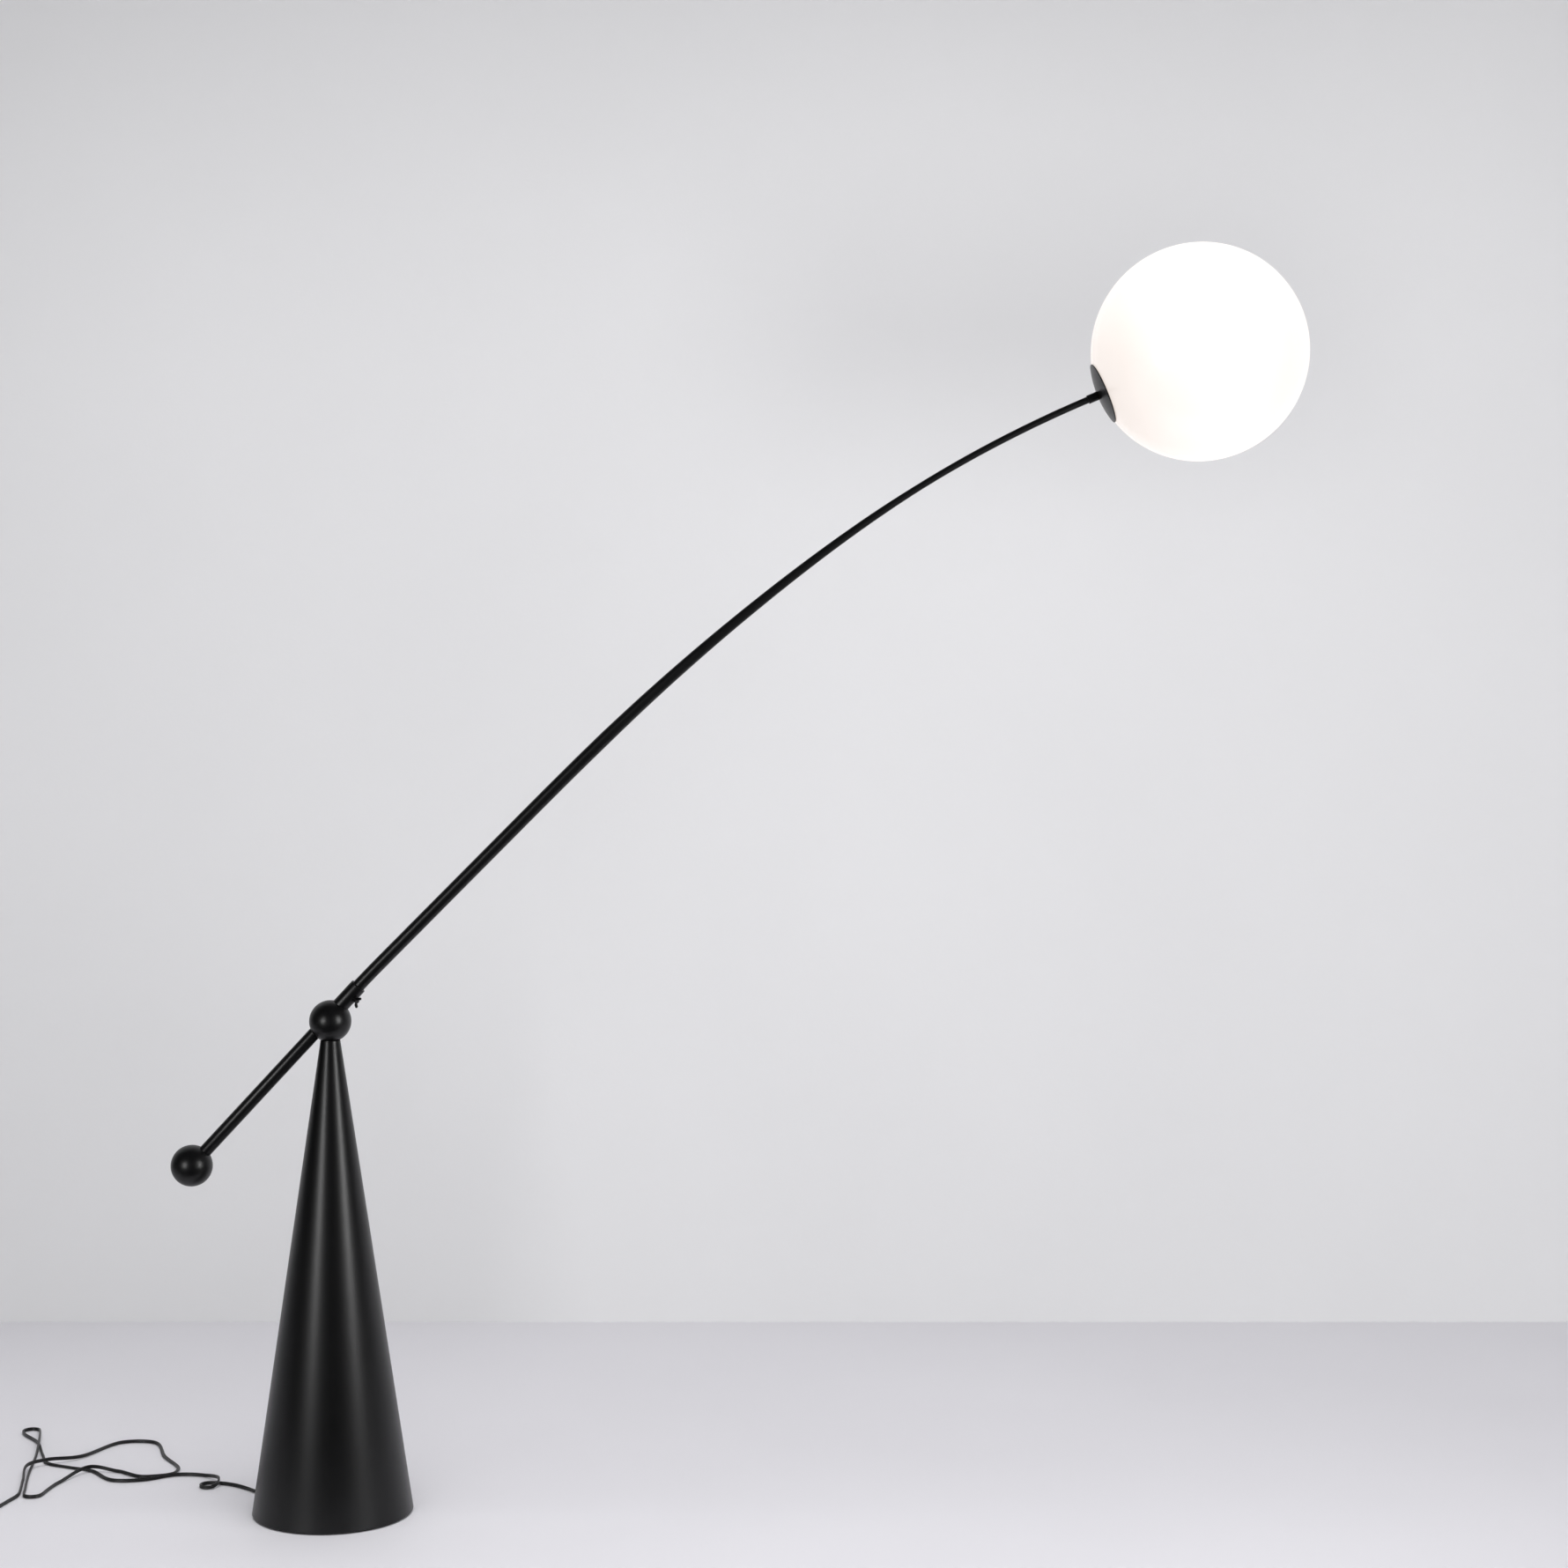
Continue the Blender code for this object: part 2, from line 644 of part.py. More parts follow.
def joint_ball(tilt):
    ball = lathe("joint_ball", ball_profile(BALL_RADIUS, 14), powder_black(), tilt, segments=28)
    outline = slot_outline(math.pi / 2 + AXIS_ANGLE, TONGUE_HALF + 0.0006, 0.045)
    across = turn(-math.pi / 2, "X")
    cut(ball, prism("slot_cutter", outline, SLOT_LOW_Y, SLOT_HIGH_Y, steel(), tilt, across))
    inset = 0.00001
    cut(ball, prism("eye_room_cutter", circle(EYE_ROOM, 28), SLOT_LOW_Y + inset, SLOT_HIGH_Y - inset,
                    steel(), tilt, across))
    on_axis = shift(z=AXIS_OFFSET) @ ALONG_X
    sleeve_room = rod_profile(SLEEVE_RADIUS + GAP, SOCKET_DEPTH, 0.05)
    cut(ball, lathe("sleeve_cutter", sleeve_room, steel(), tilt, on_axis))
    rod_room = rod_profile(ROD_RADIUS + GAP, -0.05, -SOCKET_DEPTH)
    cut(ball, lathe("rod_cutter", rod_room, steel(), tilt, on_axis))
    cut(ball, lathe("lead_cutter", rod_profile(0.0032, 0.004, 0.020), steel(), tilt,
                    shift(y=0.0035, z=AXIS_OFFSET) @ ALONG_X, 12))
    bore = PIVOT_RADIUS + GAP
    bolt_room = [(0, -0.0220), (bore, -0.0220), (bore, 0.0220), (0.0070, 0.0220), (0.0070, 0.040), (0, 0.040)]
    cut(ball, lathe("bolt_cutter", bolt_room, steel(), tilt, ALONG_Y, 24))


def pivot(tilt):
    head = 0.0065
    socket = 0.0030
    bolt = [(0, -0.0215), (PIVOT_RADIUS - 0.0005, -0.0215), (PIVOT_RADIUS, -0.0210), (PIVOT_RADIUS, 0.0223),
            (head, 0.0223), (head, 0.0268), (head - 0.0005, 0.0273), (socket, 0.0273), (socket, 0.0243),
            (0, 0.0243)]
    lathe("pivot_bolt", bolt, steel(), tilt, ALONG_Y, 20)
    discs = (
        ("friction_washer_front", 0.0090, -0.0091, -0.0079),
        ("friction_washer_rear", 0.0090, -0.0013, -0.0001),
        ("pivot_spacer", 0.0060, 0.0002, 0.0067),
    )
    for name, radius, low, high in discs:
        mat = steel() if name == "pivot_spacer" else nylon()
        lathe(name, tube_profile(radius, PIVOT_RADIUS + GAP, low, high), mat, tilt, ALONG_Y, 18)


def joint_lead(tilt):
    down = -math.pi / 2 - AXIS_ANGLE + math.radians(6)
    route = [Vector((0.0225 * math.cos(down), 0.0035, 0.0225 * math.sin(down))),
             Vector((0.0120 * math.cos(down), 0.0035, 0.0120 * math.sin(down)))]
    for angle in (-60, -20, 12):
        bend = math.radians(angle)
        route.append(Vector((0.0082 * math.cos(bend), 0.0035, 0.0082 * math.sin(bend))))
    into_arm = ((0.0108, 0.0035, 0.0040), (0.0140, 0.0035, 0.0045), (0.0190, 0.0020, 0.0045))
    route += [Vector(point) for point in into_arm]
    sweep("joint_lead", route, [0.0014] * len(route), black_pvc(), tilt, Matrix(), 8)


def counterweight(tilt):
    on_axis = shift(z=AXIS_OFFSET) @ ALONG_X
    far = -WEIGHT_DISTANCE
    end = far + ROD_SEAT
    lathe("lower_rod", tube_profile(ROD_RADIUS, ROD_RADIUS - ROD_WALL, end, -SOCKET_DEPTH - GAP),
          powder_black(), tilt, on_axis, 20)
    centre = shift(x=far, z=AXIS_OFFSET) @ ALONG_X
    ball = lathe("counterweight_ball", ball_profile(WEIGHT_RADIUS, 12), powder_black(), tilt, centre, 24)
    room = [(0, -0.0010), (0.0053, -0.0010), (0.0053, ROD_SEAT - GAP), (ROD_RADIUS + GAP, ROD_SEAT - GAP),
            (ROD_RADIUS + GAP, 0.040), (0, 0.040)]
    cut(ball, lathe("seat_cutter", room, steel(), tilt, centre, 24))
    stud = [(0, 0.0), (0.0045, 0.0), (0.005, 0.0005), (0.005, ROD_SEAT), (0.0071, ROD_SEAT + 0.0005),
            (0.0071, ROD_SEAT + 0.022), (0, ROD_SEAT + 0.022)]
    lathe("counterweight_stud", stud, steel(), tilt, centre, 20)


def sleeve(tilt, wing):
    on_axis = shift(z=AXIS_OFFSET) @ ALONG_X
    wall = tube_profile(SLEEVE_RADIUS, ROD_RADIUS + GAP, SOCKET_DEPTH + GAP, SLEEVE_END, 0.0005)
    tube = lathe("arm_sleeve", wall, powder_black(), tilt, on_axis, 24)
    cut(tube, lathe("screw_cutter", rod_profile(SHANK_ROOM, 0.004, 0.016), steel(), wing, Matrix(), 12))
    ring = tube_profile(0.0046, SHANK_ROOM, SLEEVE_RADIUS - 0.003, BOSS_TOP, 0.0004)
    boss = lathe("sleeve_boss", ring, powder_black(), wing, Matrix(), 14)
    saddle = rod_profile(SLEEVE_RADIUS + GAP, -0.015, 0.015)
    cut(boss, lathe("saddle_cutter", saddle, steel(), wing, ALONG_X, 32))


# Wing screw: local Z points out of the sleeve, and the origin is on the sleeve's axis

def wing_screw(wing):
    tip = ROD_RADIUS + 0.0003
    root = BOSS_TOP + 0.0004
    shank = [(0, tip), (SHANK_RADIUS - 0.0004, tip), (SHANK_RADIUS, tip + 0.0004),
             (SHANK_RADIUS, root + 0.0022), (0, root + 0.0022)]
    lathe("wing_screw_shank", shank, steel(), wing, Matrix(), 14)
    hub = [(SHANK_ROOM, root), (0.0036, root), (0.0040, root + 0.0004), (0.0034, root + 0.0036),
           (0.0026, root + 0.0040), (0, root + 0.0040), (0, root + 0.0025), (SHANK_ROOM, root + 0.0025)]
    head = lathe("wing_screw_wings", hub, powder_black(), wing, Matrix(), 14)
    half = WING_SPAN / 2
    outline = [(-0.0028, root + 0.0006), (0.0028, root + 0.0006), (half - 0.0022, root + 0.0024),
               (half - 0.0002, root + 0.0050), (half, root + 0.0066), (half - 0.0014, root + 0.0074),
               (half - 0.0034, root + 0.0066), (0.0028, root + 0.0034), (-0.0028, root + 0.0034),
               (0.0034 - half, root + 0.0066), (0.0014 - half, root + 0.0074), (-half, root + 0.0066),
               (0.0002 - half, root + 0.0050), (0.0022 - half, root + 0.0024)]
    flat = [(x, -z) for x, z in outline]
    ears = prism("ears_joiner", flat, -WING_THICK / 2, WING_THICK / 2, powder_black(), wing,
                 turn(WING_SPIN, "Z") @ turn(-math.pi / 2, "X"))
    cut(head, ears, "UNION")
    room = rod_profile(SHANK_ROOM, 0.004, root + 0.0025, 0.0001)
    cut(head, lathe("shank_cutter", room, steel(), wing, Matrix(), 14))


# Arm: local X is the sleeve's axis, and the origin is on it beside the joint's centre

def bend_at(distance):
    """Turn per metre of the arm at a distance past the sleeve."""
    for (start, low), (end, high) in zip(BENDS, BENDS[1:]):
        if distance <= end:
            return low + (high - low) * (distance - start) / (end - start)
    return BENDS[-1][1]


def arm_radius(distance):
    share = min(1.0, max(0.0, (distance - TAPER_START) / (TAPER_END - TAPER_START)))
    return ROD_RADIUS + (ARM_END_RADIUS - ROD_RADIUS) * share


def arm_line(spacing=0.052, fine=0.002):
    """(distance, point, angle) at stations along the arm, by stepping along its curve."""
    stations = [(ARM_START - SLEEVE_END, Vector((ARM_START, 0, 0)), 0.0)]
    stations.append((0.0, Vector((SLEEVE_END, 0, 0)), 0.0))
    count = round(ARM_LENGTH / spacing)
    place = Vector((SLEEVE_END, 0, 0))
    angle = 0.0
    for k in range(count):
        start = ARM_LENGTH * k / count
        steps = round(spacing / fine)
        step = ARM_LENGTH / count / steps
        for j in range(steps):
            angle -= bend_at(start + (j + 0.5) * step) * step
            place = place + Vector((math.cos(angle), 0, math.sin(angle))) * step
        stations.append((start + ARM_LENGTH / count, place.copy(), angle))
    return stations


def arm(arm_frame, line):
    outer = [arm_radius(distance) for distance, _, _ in line]
    inner = [radius - ARM_WALL for radius in outer]
    points = [point for _, point, _ in line]
    sweep("arm_tube", points, outer, powder_black(), arm_frame, Matrix(), 10, inner)


def arm_lead(arm_frame, line):
    points = [point for _, point, _ in line[::2]]
    points[0] = points[0] + Vector((0.002, 0, 0))
    _, tip, angle = line[-1]
    ahead = Vector((math.cos(angle), 0, math.sin(angle)))
    if (points[-1] - tip).length > 1e-6:
        points.append(tip)
    points.append(tip + ahead * 0.034)
    sweep("arm_lead", points, [0.0014] * len(points), black_pvc(), arm_frame, Matrix(), 6)


# Lamp head: local X points from the arm to the globe's centre, which is the origin

def carrier(head):
    on_axis = ALONG_X
    back = -GLOBE_FROM_ARM + GAP
    front = -DISH_RADIUS - GAP
    collar = [(0.0036, back), (0.0056, back), (0.0061, back + 0.0006), (0.0061, front - 0.0004),
              (0.0056, front), (0.0053, front), (0.0053, back + 0.0028), (0.0036, back + 0.0028)]
    lathe("dish_collar", collar, powder_black(), head, on_axis, 16)
    inner = DISH_RADIUS - DISH_THICK
    first = math.asin(0.0053 / DISH_RADIUS)
    dish = [(r, -z) for r, z in ball_profile(DISH_RADIUS, 4, first, DISH_HALF_ANGLE)]
    dish += [(r, -z) for r, z in ball_profile(inner, 4, DISH_HALF_ANGLE, math.asin(0.0053 / inner))]
    lathe("dish", dish, powder_black(), head, on_axis, 30)
    lathe("nipple", tube_profile(0.0050, 0.0036, back + 0.0031, -0.1300), brass(), head, on_axis, 14)
    seat = -0.1456
    floor = seat + GALLERY_WALL
    gallery = [(NIPPLE_ROOM, seat), (GALLERY_RADIUS - 0.0004, seat), (GALLERY_RADIUS, seat + 0.0004),
               (GALLERY_RADIUS, GALLERY_RIM), (GALLERY_RADIUS - GALLERY_WALL, GALLERY_RIM),
               (GALLERY_RADIUS - GALLERY_WALL, floor), (NIPPLE_ROOM, floor)]
    lathe("globe_gallery", gallery, steel(), head, on_axis, 28)
    hex_nut("holder_nut", 0.0088, NIPPLE_ROOM, floor + GAP, floor + GAP + 0.004, steel(), head, on_axis)


def lampholder(head):
    on_axis = ALONG_X
    cap = [(NIPPLE_ROOM, -0.1380), (0.0150, -0.1380), (0.0190, -0.1330), (0.0200, -0.1180),
           (0.0184, -0.1180), (0.0174, -0.1320), (0.0142, -0.1364), (NIPPLE_ROOM, -0.1364)]
    lathe("lampholder_cap", cap, black_plastic(), head, on_axis, 22)
    insert = [(0, -0.1205), (0.0165, -0.1205), (0.0170, -0.1200), (0.0170, -0.0925), (0.0138, -0.0925),
              (0.0138, -0.1165), (0, -0.1165)]
    lathe("lampholder_insert", insert, white_plastic(), head, on_axis, 20)
    ring = tube_profile(0.0200, 0.0174, -0.1177, -0.0910)
    lathe("lampholder_ring", ring, black_plastic(), head, on_axis, 22)


def bulb(head):
    on_axis = ALONG_X
    cap = [(0, -0.1160), (0.0045, -0.1160), (0.0055, -0.1150), (0.0110, -0.1120), (0.0133, -0.1095),
           (0.0133, -0.0905), (0, -0.0905)]
    lathe("bulb_cap", cap, steel(), head, on_axis, 18)
    body = [(0, -0.0902), (0.0140, -0.0902), (0.0170, -0.0860), (0.0215, -0.0720), (0.0265, -0.0560),
            (0.0285, -0.0500), (0, -0.0500)]
    lathe("bulb_body", body, white_plastic(), head, on_axis, 20)
    centre = -0.0340
    start = math.acos((-0.0497 - centre) / 0.0300)
    dome = [(0, -0.0497)] + [(r, centre + z) for r, z in ball_profile(0.0300, 7, start, 0.0)]
    lathe("bulb_dome", dome, opal_glass(), head, on_axis, 20)


def globe(head):
    on_axis = ALONG_X
    edge = math.acos(-MOUTH_X / GLOBE_RADIUS)
    outer = ball_profile(GLOBE_RADIUS, 14, math.pi - edge, 0.0)
    inside = GLOBE_RADIUS - GLOBE_WALL
    root = math.asin((THREAD_RADIUS + 0.0028) / inside)
    inner = ball_profile(inside, 9, 0.0, math.pi - root)
    lip = [(THREAD_RADIUS + 0.0028, LIP_END), (THREAD_RADIUS, LIP_END), (THREAD_RADIUS, -0.1420),
           (THREAD_RADIUS + 0.0020, -0.1420), (THREAD_RADIUS + 0.0020, MOUTH_X)]
    lathe("globe", outer + inner + lip, opal_glass(), head, on_axis, 28)
    lathe("globe_gasket", tube_profile(THREAD_RADIUS + 0.0017, 0.0359, -0.1444, -0.1423),
          rubber(), head, on_axis, 28)


# Foot switch, coil and plug

def boot_points(start, end, low, reach=BOOT_LENGTH, count=6):
    """From a housing's end down to the floor, along local X."""
    points = []
    for k in range(count + 1):
        share = k / count
        drop = (3 * share ** 2 - 2 * share ** 3) * (start - low)
        points.append(Vector((end + reach * share, 0.0, start - drop)))
    return points


def boot(name, height, end, parent, local, root=0.0050, tip=0.0034):
    points = boot_points(height, end, 0.0042)
    radii = [root + (tip - root) * k / (len(points) - 1) for k in range(len(points))]
    sweep(name, points, radii, rubber(), parent, local, 12)


def foot_switch(switch):
    wall = 0.0022
    length, width = SWITCH_LENGTH, SWITCH_WIDTH
    outline = rounded_rectangle(length, width, 0.013)
    hollow = rounded_rectangle(length - 2 * wall, width - 2 * wall, 0.013 - wall)
    lower = prism("switch_lower", outline, 0.0, SWITCH_SPLIT, black_plastic(), switch, bevel=0.0012)
    cut(lower, prism("lower_cutter", hollow, wall, 0.03, steel(), switch))
    split = SWITCH_SPLIT + GAP
    upper = prism("switch_upper", outline, split, SWITCH_TOP, black_plastic(), switch, bevel=0.0018)
    cut(upper, prism("upper_cutter", hollow, -0.01, SWITCH_TOP - wall, steel(), switch))
    cut(upper, prism("button_hole_cutter", circle(BUTTON_RADIUS + RUN, 22), 0.0, 0.04, steel(), switch))
    prism("switch_mechanism", rounded_rectangle(0.030, 0.018, 0.002, 2), wall + GAP, 0.0125,
          white_plastic(), switch)
    flange = SWITCH_TOP - wall - 0.0005
    skirt = BUTTON_RADIUS + 0.0015
    button = [(0, 0.0163), (skirt, 0.0163), (skirt, flange), (BUTTON_RADIUS, flange),
              (BUTTON_RADIUS, BUTTON_TOP - 0.0015), (BUTTON_RADIUS - 0.0015, BUTTON_TOP),
              (0, BUTTON_TOP + 0.0004)]
    lathe("switch_button", button, black_plastic(), switch, Matrix(), 22)
    boot("switch_boot_in", BOOT_Z, length / 2 + RUN, switch, turn(math.pi, "Z"))
    boot("switch_boot_out", BOOT_Z, length / 2 + RUN, switch, Matrix())


def coil(base):
    half = COIL_HALF
    edge = 0.0022
    low = 0.0001
    section = [(half, edge), (half, COIL_HEIGHT - edge), (half - edge, COIL_HEIGHT),
               (edge - half, COIL_HEIGHT), (-half, COIL_HEIGHT - edge), (-half, edge),
               (edge - half, low), (half - edge, low)]
    ring = [(COIL_RADIUS + x, z) for x, z in section]
    lathe("cord_coil", ring, black_pvc(), base, Matrix.Translation(COIL_AT), 24)


def plug(plug_frame):
    body = [(-0.0170, -0.0050), (-0.0120, -0.0100), (0.0040, -0.0130), (0.0170, -0.0130), (0.0180, -0.0120),
            (0.0180, 0.0120), (0.0170, 0.0130), (0.0040, 0.0130), (-0.0120, 0.0100), (-0.0170, 0.0050)]
    prism("plug_body", body, -0.0068, 0.0068, black_plastic(), plug_frame, bevel=0.0016)
    for name, y in (("plug_pin_left", 0.0093), ("plug_pin_right", -0.0093)):
        pin = [(0, 0.0183), (0.0020, 0.0183), (0.0020, 0.0362), (0.0012, 0.0373), (0, 0.0373)]
        lathe(name, pin, brass(), plug_frame, shift(y=y) @ ALONG_X, 12)
    height = PLUG_AT.z
    points = [p - Vector((0, 0, height)) for p in boot_points(height, 0.0175, 0.0042, PLUG_BOOT, 6)]
    radii = [0.0048 + (0.0034 - 0.0048) * k / 6 for k in range(7)]
    sweep("plug_boot", points, radii, rubber(), plug_frame, turn(math.pi, "Z"), 12)


def cords(base):
    tip = turn(OUTLET_ANGLE, "Z") @ outlet_point(RELIEF_LENGTH + GAP)
    ahead = turn(OUTLET_ANGLE, "Z") @ outlet_point(RELIEF_LENGTH + 0.012)
    ahead.z = LIE + 0.0006
    along = Vector((math.cos(SWITCH_HEADING), math.sin(SWITCH_HEADING), 0.0))
    reach = SWITCH_LENGTH / 2 + RUN + BOOT_LENGTH + GAP
    up = Vector((0, 0, 0.0042))
    into = [SWITCH_AT - along * (reach + 0.010) + up * 0.8, SWITCH_AT - along * reach + up]
    route = [tip, ahead] + [Vector(point) for point in ROUTE] + into
    cord("cord_run", lying(smooth_path(route)), base)
    out = SWITCH_AT + along * reach + up
    turns = COIL_AT - Vector((COIL_RADIUS + CORD_RADIUS, 0.0, 0.0))
    clear = math.sqrt((COIL_RADIUS + COIL_HALF + CORD_RADIUS + GAP) ** 2 - (COIL_RADIUS + CORD_RADIUS) ** 2)
    touch = Vector((0.0, clear, 0.0))
    low = Vector((0.0, 0.0, LIE))
    second = [out, out + along * 0.010 - up * 0.2]
    second += [Vector(point) for point in LEAD_IN] + [turns - touch + low]
    cord("cord_lead_in", lying(smooth_path(second)), base)
    heading = Vector((math.cos(PLUG_HEADING), math.sin(PLUG_HEADING), 0.0))
    back = Vector((PLUG_AT.x, PLUG_AT.y, 0.0)) - heading * (0.0175 + PLUG_BOOT + GAP)
    high = Vector((0.0, 0.0, LIE + 2 * CORD_RADIUS))
    tail = [turns + touch + high, turns + touch * 1.6 + high * 0.75]
    tail += [back - heading * 0.016 + up * 0.8, back + up]
    cord("cord_tail", lying(smooth_path(tail)), base)


def build():
    clear_scene()
    base = frame("base_frame", Matrix())
    cone_shell(base)
    floor_pad(base)
    base_plate(base)
    ballast(base)
    centre_column(base)
    neck(base)
    cable_outlet(base)
    inner_cables(base)
    swivel_axis = frame("swivel_axis", shift(z=JOINT_Z), base)
    swivel(swivel_axis)
    tilt_axis = frame("tilt_axis", turn(-AXIS_ANGLE, "Y"), swivel_axis)
    joint_ball(tilt_axis)
    pivot(tilt_axis)
    joint_lead(tilt_axis)
    counterweight(tilt_axis)
    beside = shift(x=WING_AT, z=AXIS_OFFSET) @ turn(math.pi - WING_TURN, "X")
    wing_axis = frame("wing_axis", beside, tilt_axis)
    sleeve(tilt_axis, wing_axis)
    wing_screw(wing_axis)
    arm_axis = frame("arm_axis", shift(z=AXIS_OFFSET), tilt_axis)
    line = arm_line()
    arm(arm_axis, line)
    arm_lead(arm_axis, line)
    _, tip, angle = line[-1]
    ahead = Vector((math.cos(angle), 0, math.sin(angle))) * GLOBE_FROM_ARM
    head = frame("head_axis", Matrix.Translation(tip + ahead) @ turn(-angle, "Y"), arm_axis)
    carrier(head)
    lampholder(head)
    bulb(head)
    globe(head)
    switch = frame("switch_frame", Matrix.Translation(SWITCH_AT) @ turn(SWITCH_HEADING, "Z"), base)
    foot_switch(switch)
    coil(base)
    plug(frame("plug_frame", Matrix.Translation(PLUG_AT) @ turn(PLUG_HEADING, "Z"), base))
    cords(base)


build()
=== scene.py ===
"""Looks of the arc floor lamp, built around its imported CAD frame.

Metres, +Z up, in the frame of the CAD: the origin is the centre of the base's underside, on the floor.
"""

import json
import math

import bmesh
import bpy
from mathutils import Matrix, Vector


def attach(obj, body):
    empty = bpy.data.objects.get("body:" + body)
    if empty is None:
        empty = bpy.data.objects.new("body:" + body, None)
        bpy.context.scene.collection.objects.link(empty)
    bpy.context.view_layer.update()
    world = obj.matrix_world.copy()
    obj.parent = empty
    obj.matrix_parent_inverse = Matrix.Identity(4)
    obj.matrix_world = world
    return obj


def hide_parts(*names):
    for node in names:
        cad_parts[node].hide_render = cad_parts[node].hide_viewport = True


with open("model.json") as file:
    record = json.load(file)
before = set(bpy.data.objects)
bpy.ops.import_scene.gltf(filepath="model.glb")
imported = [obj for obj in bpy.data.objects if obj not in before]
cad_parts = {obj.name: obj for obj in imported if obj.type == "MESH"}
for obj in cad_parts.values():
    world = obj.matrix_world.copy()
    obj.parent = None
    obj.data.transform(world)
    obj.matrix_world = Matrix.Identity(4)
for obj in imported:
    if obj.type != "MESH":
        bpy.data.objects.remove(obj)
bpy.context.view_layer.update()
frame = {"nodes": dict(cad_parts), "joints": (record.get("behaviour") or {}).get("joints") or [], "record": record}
joints = {joint["name"]: joint for joint in frame["joints"]}

# Camera
CAMERA_AT = (0.6330, -3.8507, 1.1574)
CAMERA_PITCH = math.radians(2.02)
CAMERA_LENS = 63.6

# Floor and wall
FLOOR_Z = -0.0002
WALL_Y = 1.16
WALL_TOP = 5.0
STAGE_REACH = 6.0
FLOOR_SPLIT_Y = -0.35
FLOOR_DARK = (0.790, 0.780, 0.820)
FLOOR_LIGHT = (0.825, 0.815, 0.855)
WALL_DARK = (0.685, 0.685, 0.695)
WALL_LIGHT = (0.71, 0.71, 0.72)
ROOM_COLOR = (0.98, 0.985, 1.0)
ROOM_STRENGTH = 0.02
BACKDROP_STRENGTH = 0.68

# Lights: name, place, aim, width, height, power and what sees them
LIGHTS = (
    ("softbox_left", (-1.62, -2.70, 1.05), (0.0, 0.0, 0.6), 0.50, 1.20, 36.0, "gloss"),
    ("softbox_right", (2.60, -1.76, 1.15), (0.0, 0.0, 0.6), 0.60, 1.30, 47.0, "gloss"),
    ("ceiling_fill", (0.6, -1.2, 3.6), (0.6, -2.4, 0.0), 4.0, 2.5, 133.0, "diffuse"),
    ("front_fill", (1.6, -5.5, 0.6), (1.0, 0.0, 0.5), 5.0, 2.0, 295.0, "diffuse"),
)

# Edges sharper than this stay hard
SHARP = math.radians(35)

# Driving sizes shared with the CAD
GAP = 0.0003
RUN = 0.0005
CONE_APEX_Z = 0.7561
CONE_SLOPE = 0.14845
CONE_WALL = 0.002
CONE_FOOT_Z = 0.0023
CONE_RIM_Z = 0.6642
PAD_RADIUS = 0.1086
PAD_THICK = 0.002
NECK_LOW = 0.612
NECK_TOP = 0.656
SPIGOT_RADIUS = 0.007
SPIGOT_BORE = 0.004
COLLAR_RADIUS = 0.0116
COLLAR_TOP = 0.6608
GROOVE_Z = 0.645
PIVOT_RADIUS = 0.004
TONGUE_LOW_Y = -0.0076
TONGUE_HIGH_Y = -0.0016
TONGUE_HALF = 0.0040
EYE_RADIUS = 0.0093
EYE_ROOM = 0.0103
SLOT_LOW_Y = -0.0094
SLOT_HIGH_Y = 0.0070
TILT_UP = math.radians(5)
TILT_DOWN = math.radians(18)
BALL_RADIUS = 0.02925
WEIGHT_RADIUS = 0.029
WEIGHT_DISTANCE = 0.2812
ROD_RADIUS = 0.009
ROD_SEAT = 0.0255
ROD_WALL = 0.0015
SLEEVE_RADIUS = 0.0115
SLEEVE_END = 0.063
SOCKET_DEPTH = 0.0142
BOSS_TOP = 0.0136
WING_SPAN = 0.0172
WING_SPIN = math.radians(26)
WING_THICK = 0.0032
SHANK_RADIUS = 0.0020
SHANK_ROOM = 0.0023
GLOBE_RADIUS = 0.150
GLOBE_FROM_ARM = 0.1683
DISH_RADIUS = 0.152
DISH_THICK = 0.0015
DISH_HALF_ANGLE = math.radians(16.4)
GLOBE_WALL = 0.002
MOUTH_X = -0.1446
THREAD_RADIUS = 0.036
LIP_END = -0.132

# Bent arm, measured from the sleeve's end: turn per metre at distances along it
ARM_LENGTH = 1.309
ARM_START = 0.020
ARM_END_RADIUS = 0.0047
ARM_WALL = 0.0012
TAPER_START = 0.484
TAPER_END = 1.050
BENDS = (
    (0.0, 1.129), (0.060, 0.0), (0.300, 0.0), (0.550, 0.324), (0.800, 0.303), (1.050, 0.620), (1.309, 0.547),
)

# Flat twin cord: two cores side by side
CORD_WIDTH = 0.0054
CORE_RADIUS = 0.0016
CORE_APART = 0.0011
HALF_WIDTH = CORD_WIDTH / 2
CORD_STEP = 0.0025
LEAN_SCALE = 1e-4
LIE = 0.0028
OVER = 0.0088
OUTLET_ANGLE = math.radians(145)
OUTLET_Z = 0.0145
OUTLET_HOLE = 0.0046
TAIL_Z = 0.0042
RELIEF_LENGTH = 0.030
GRIP = 0.0035

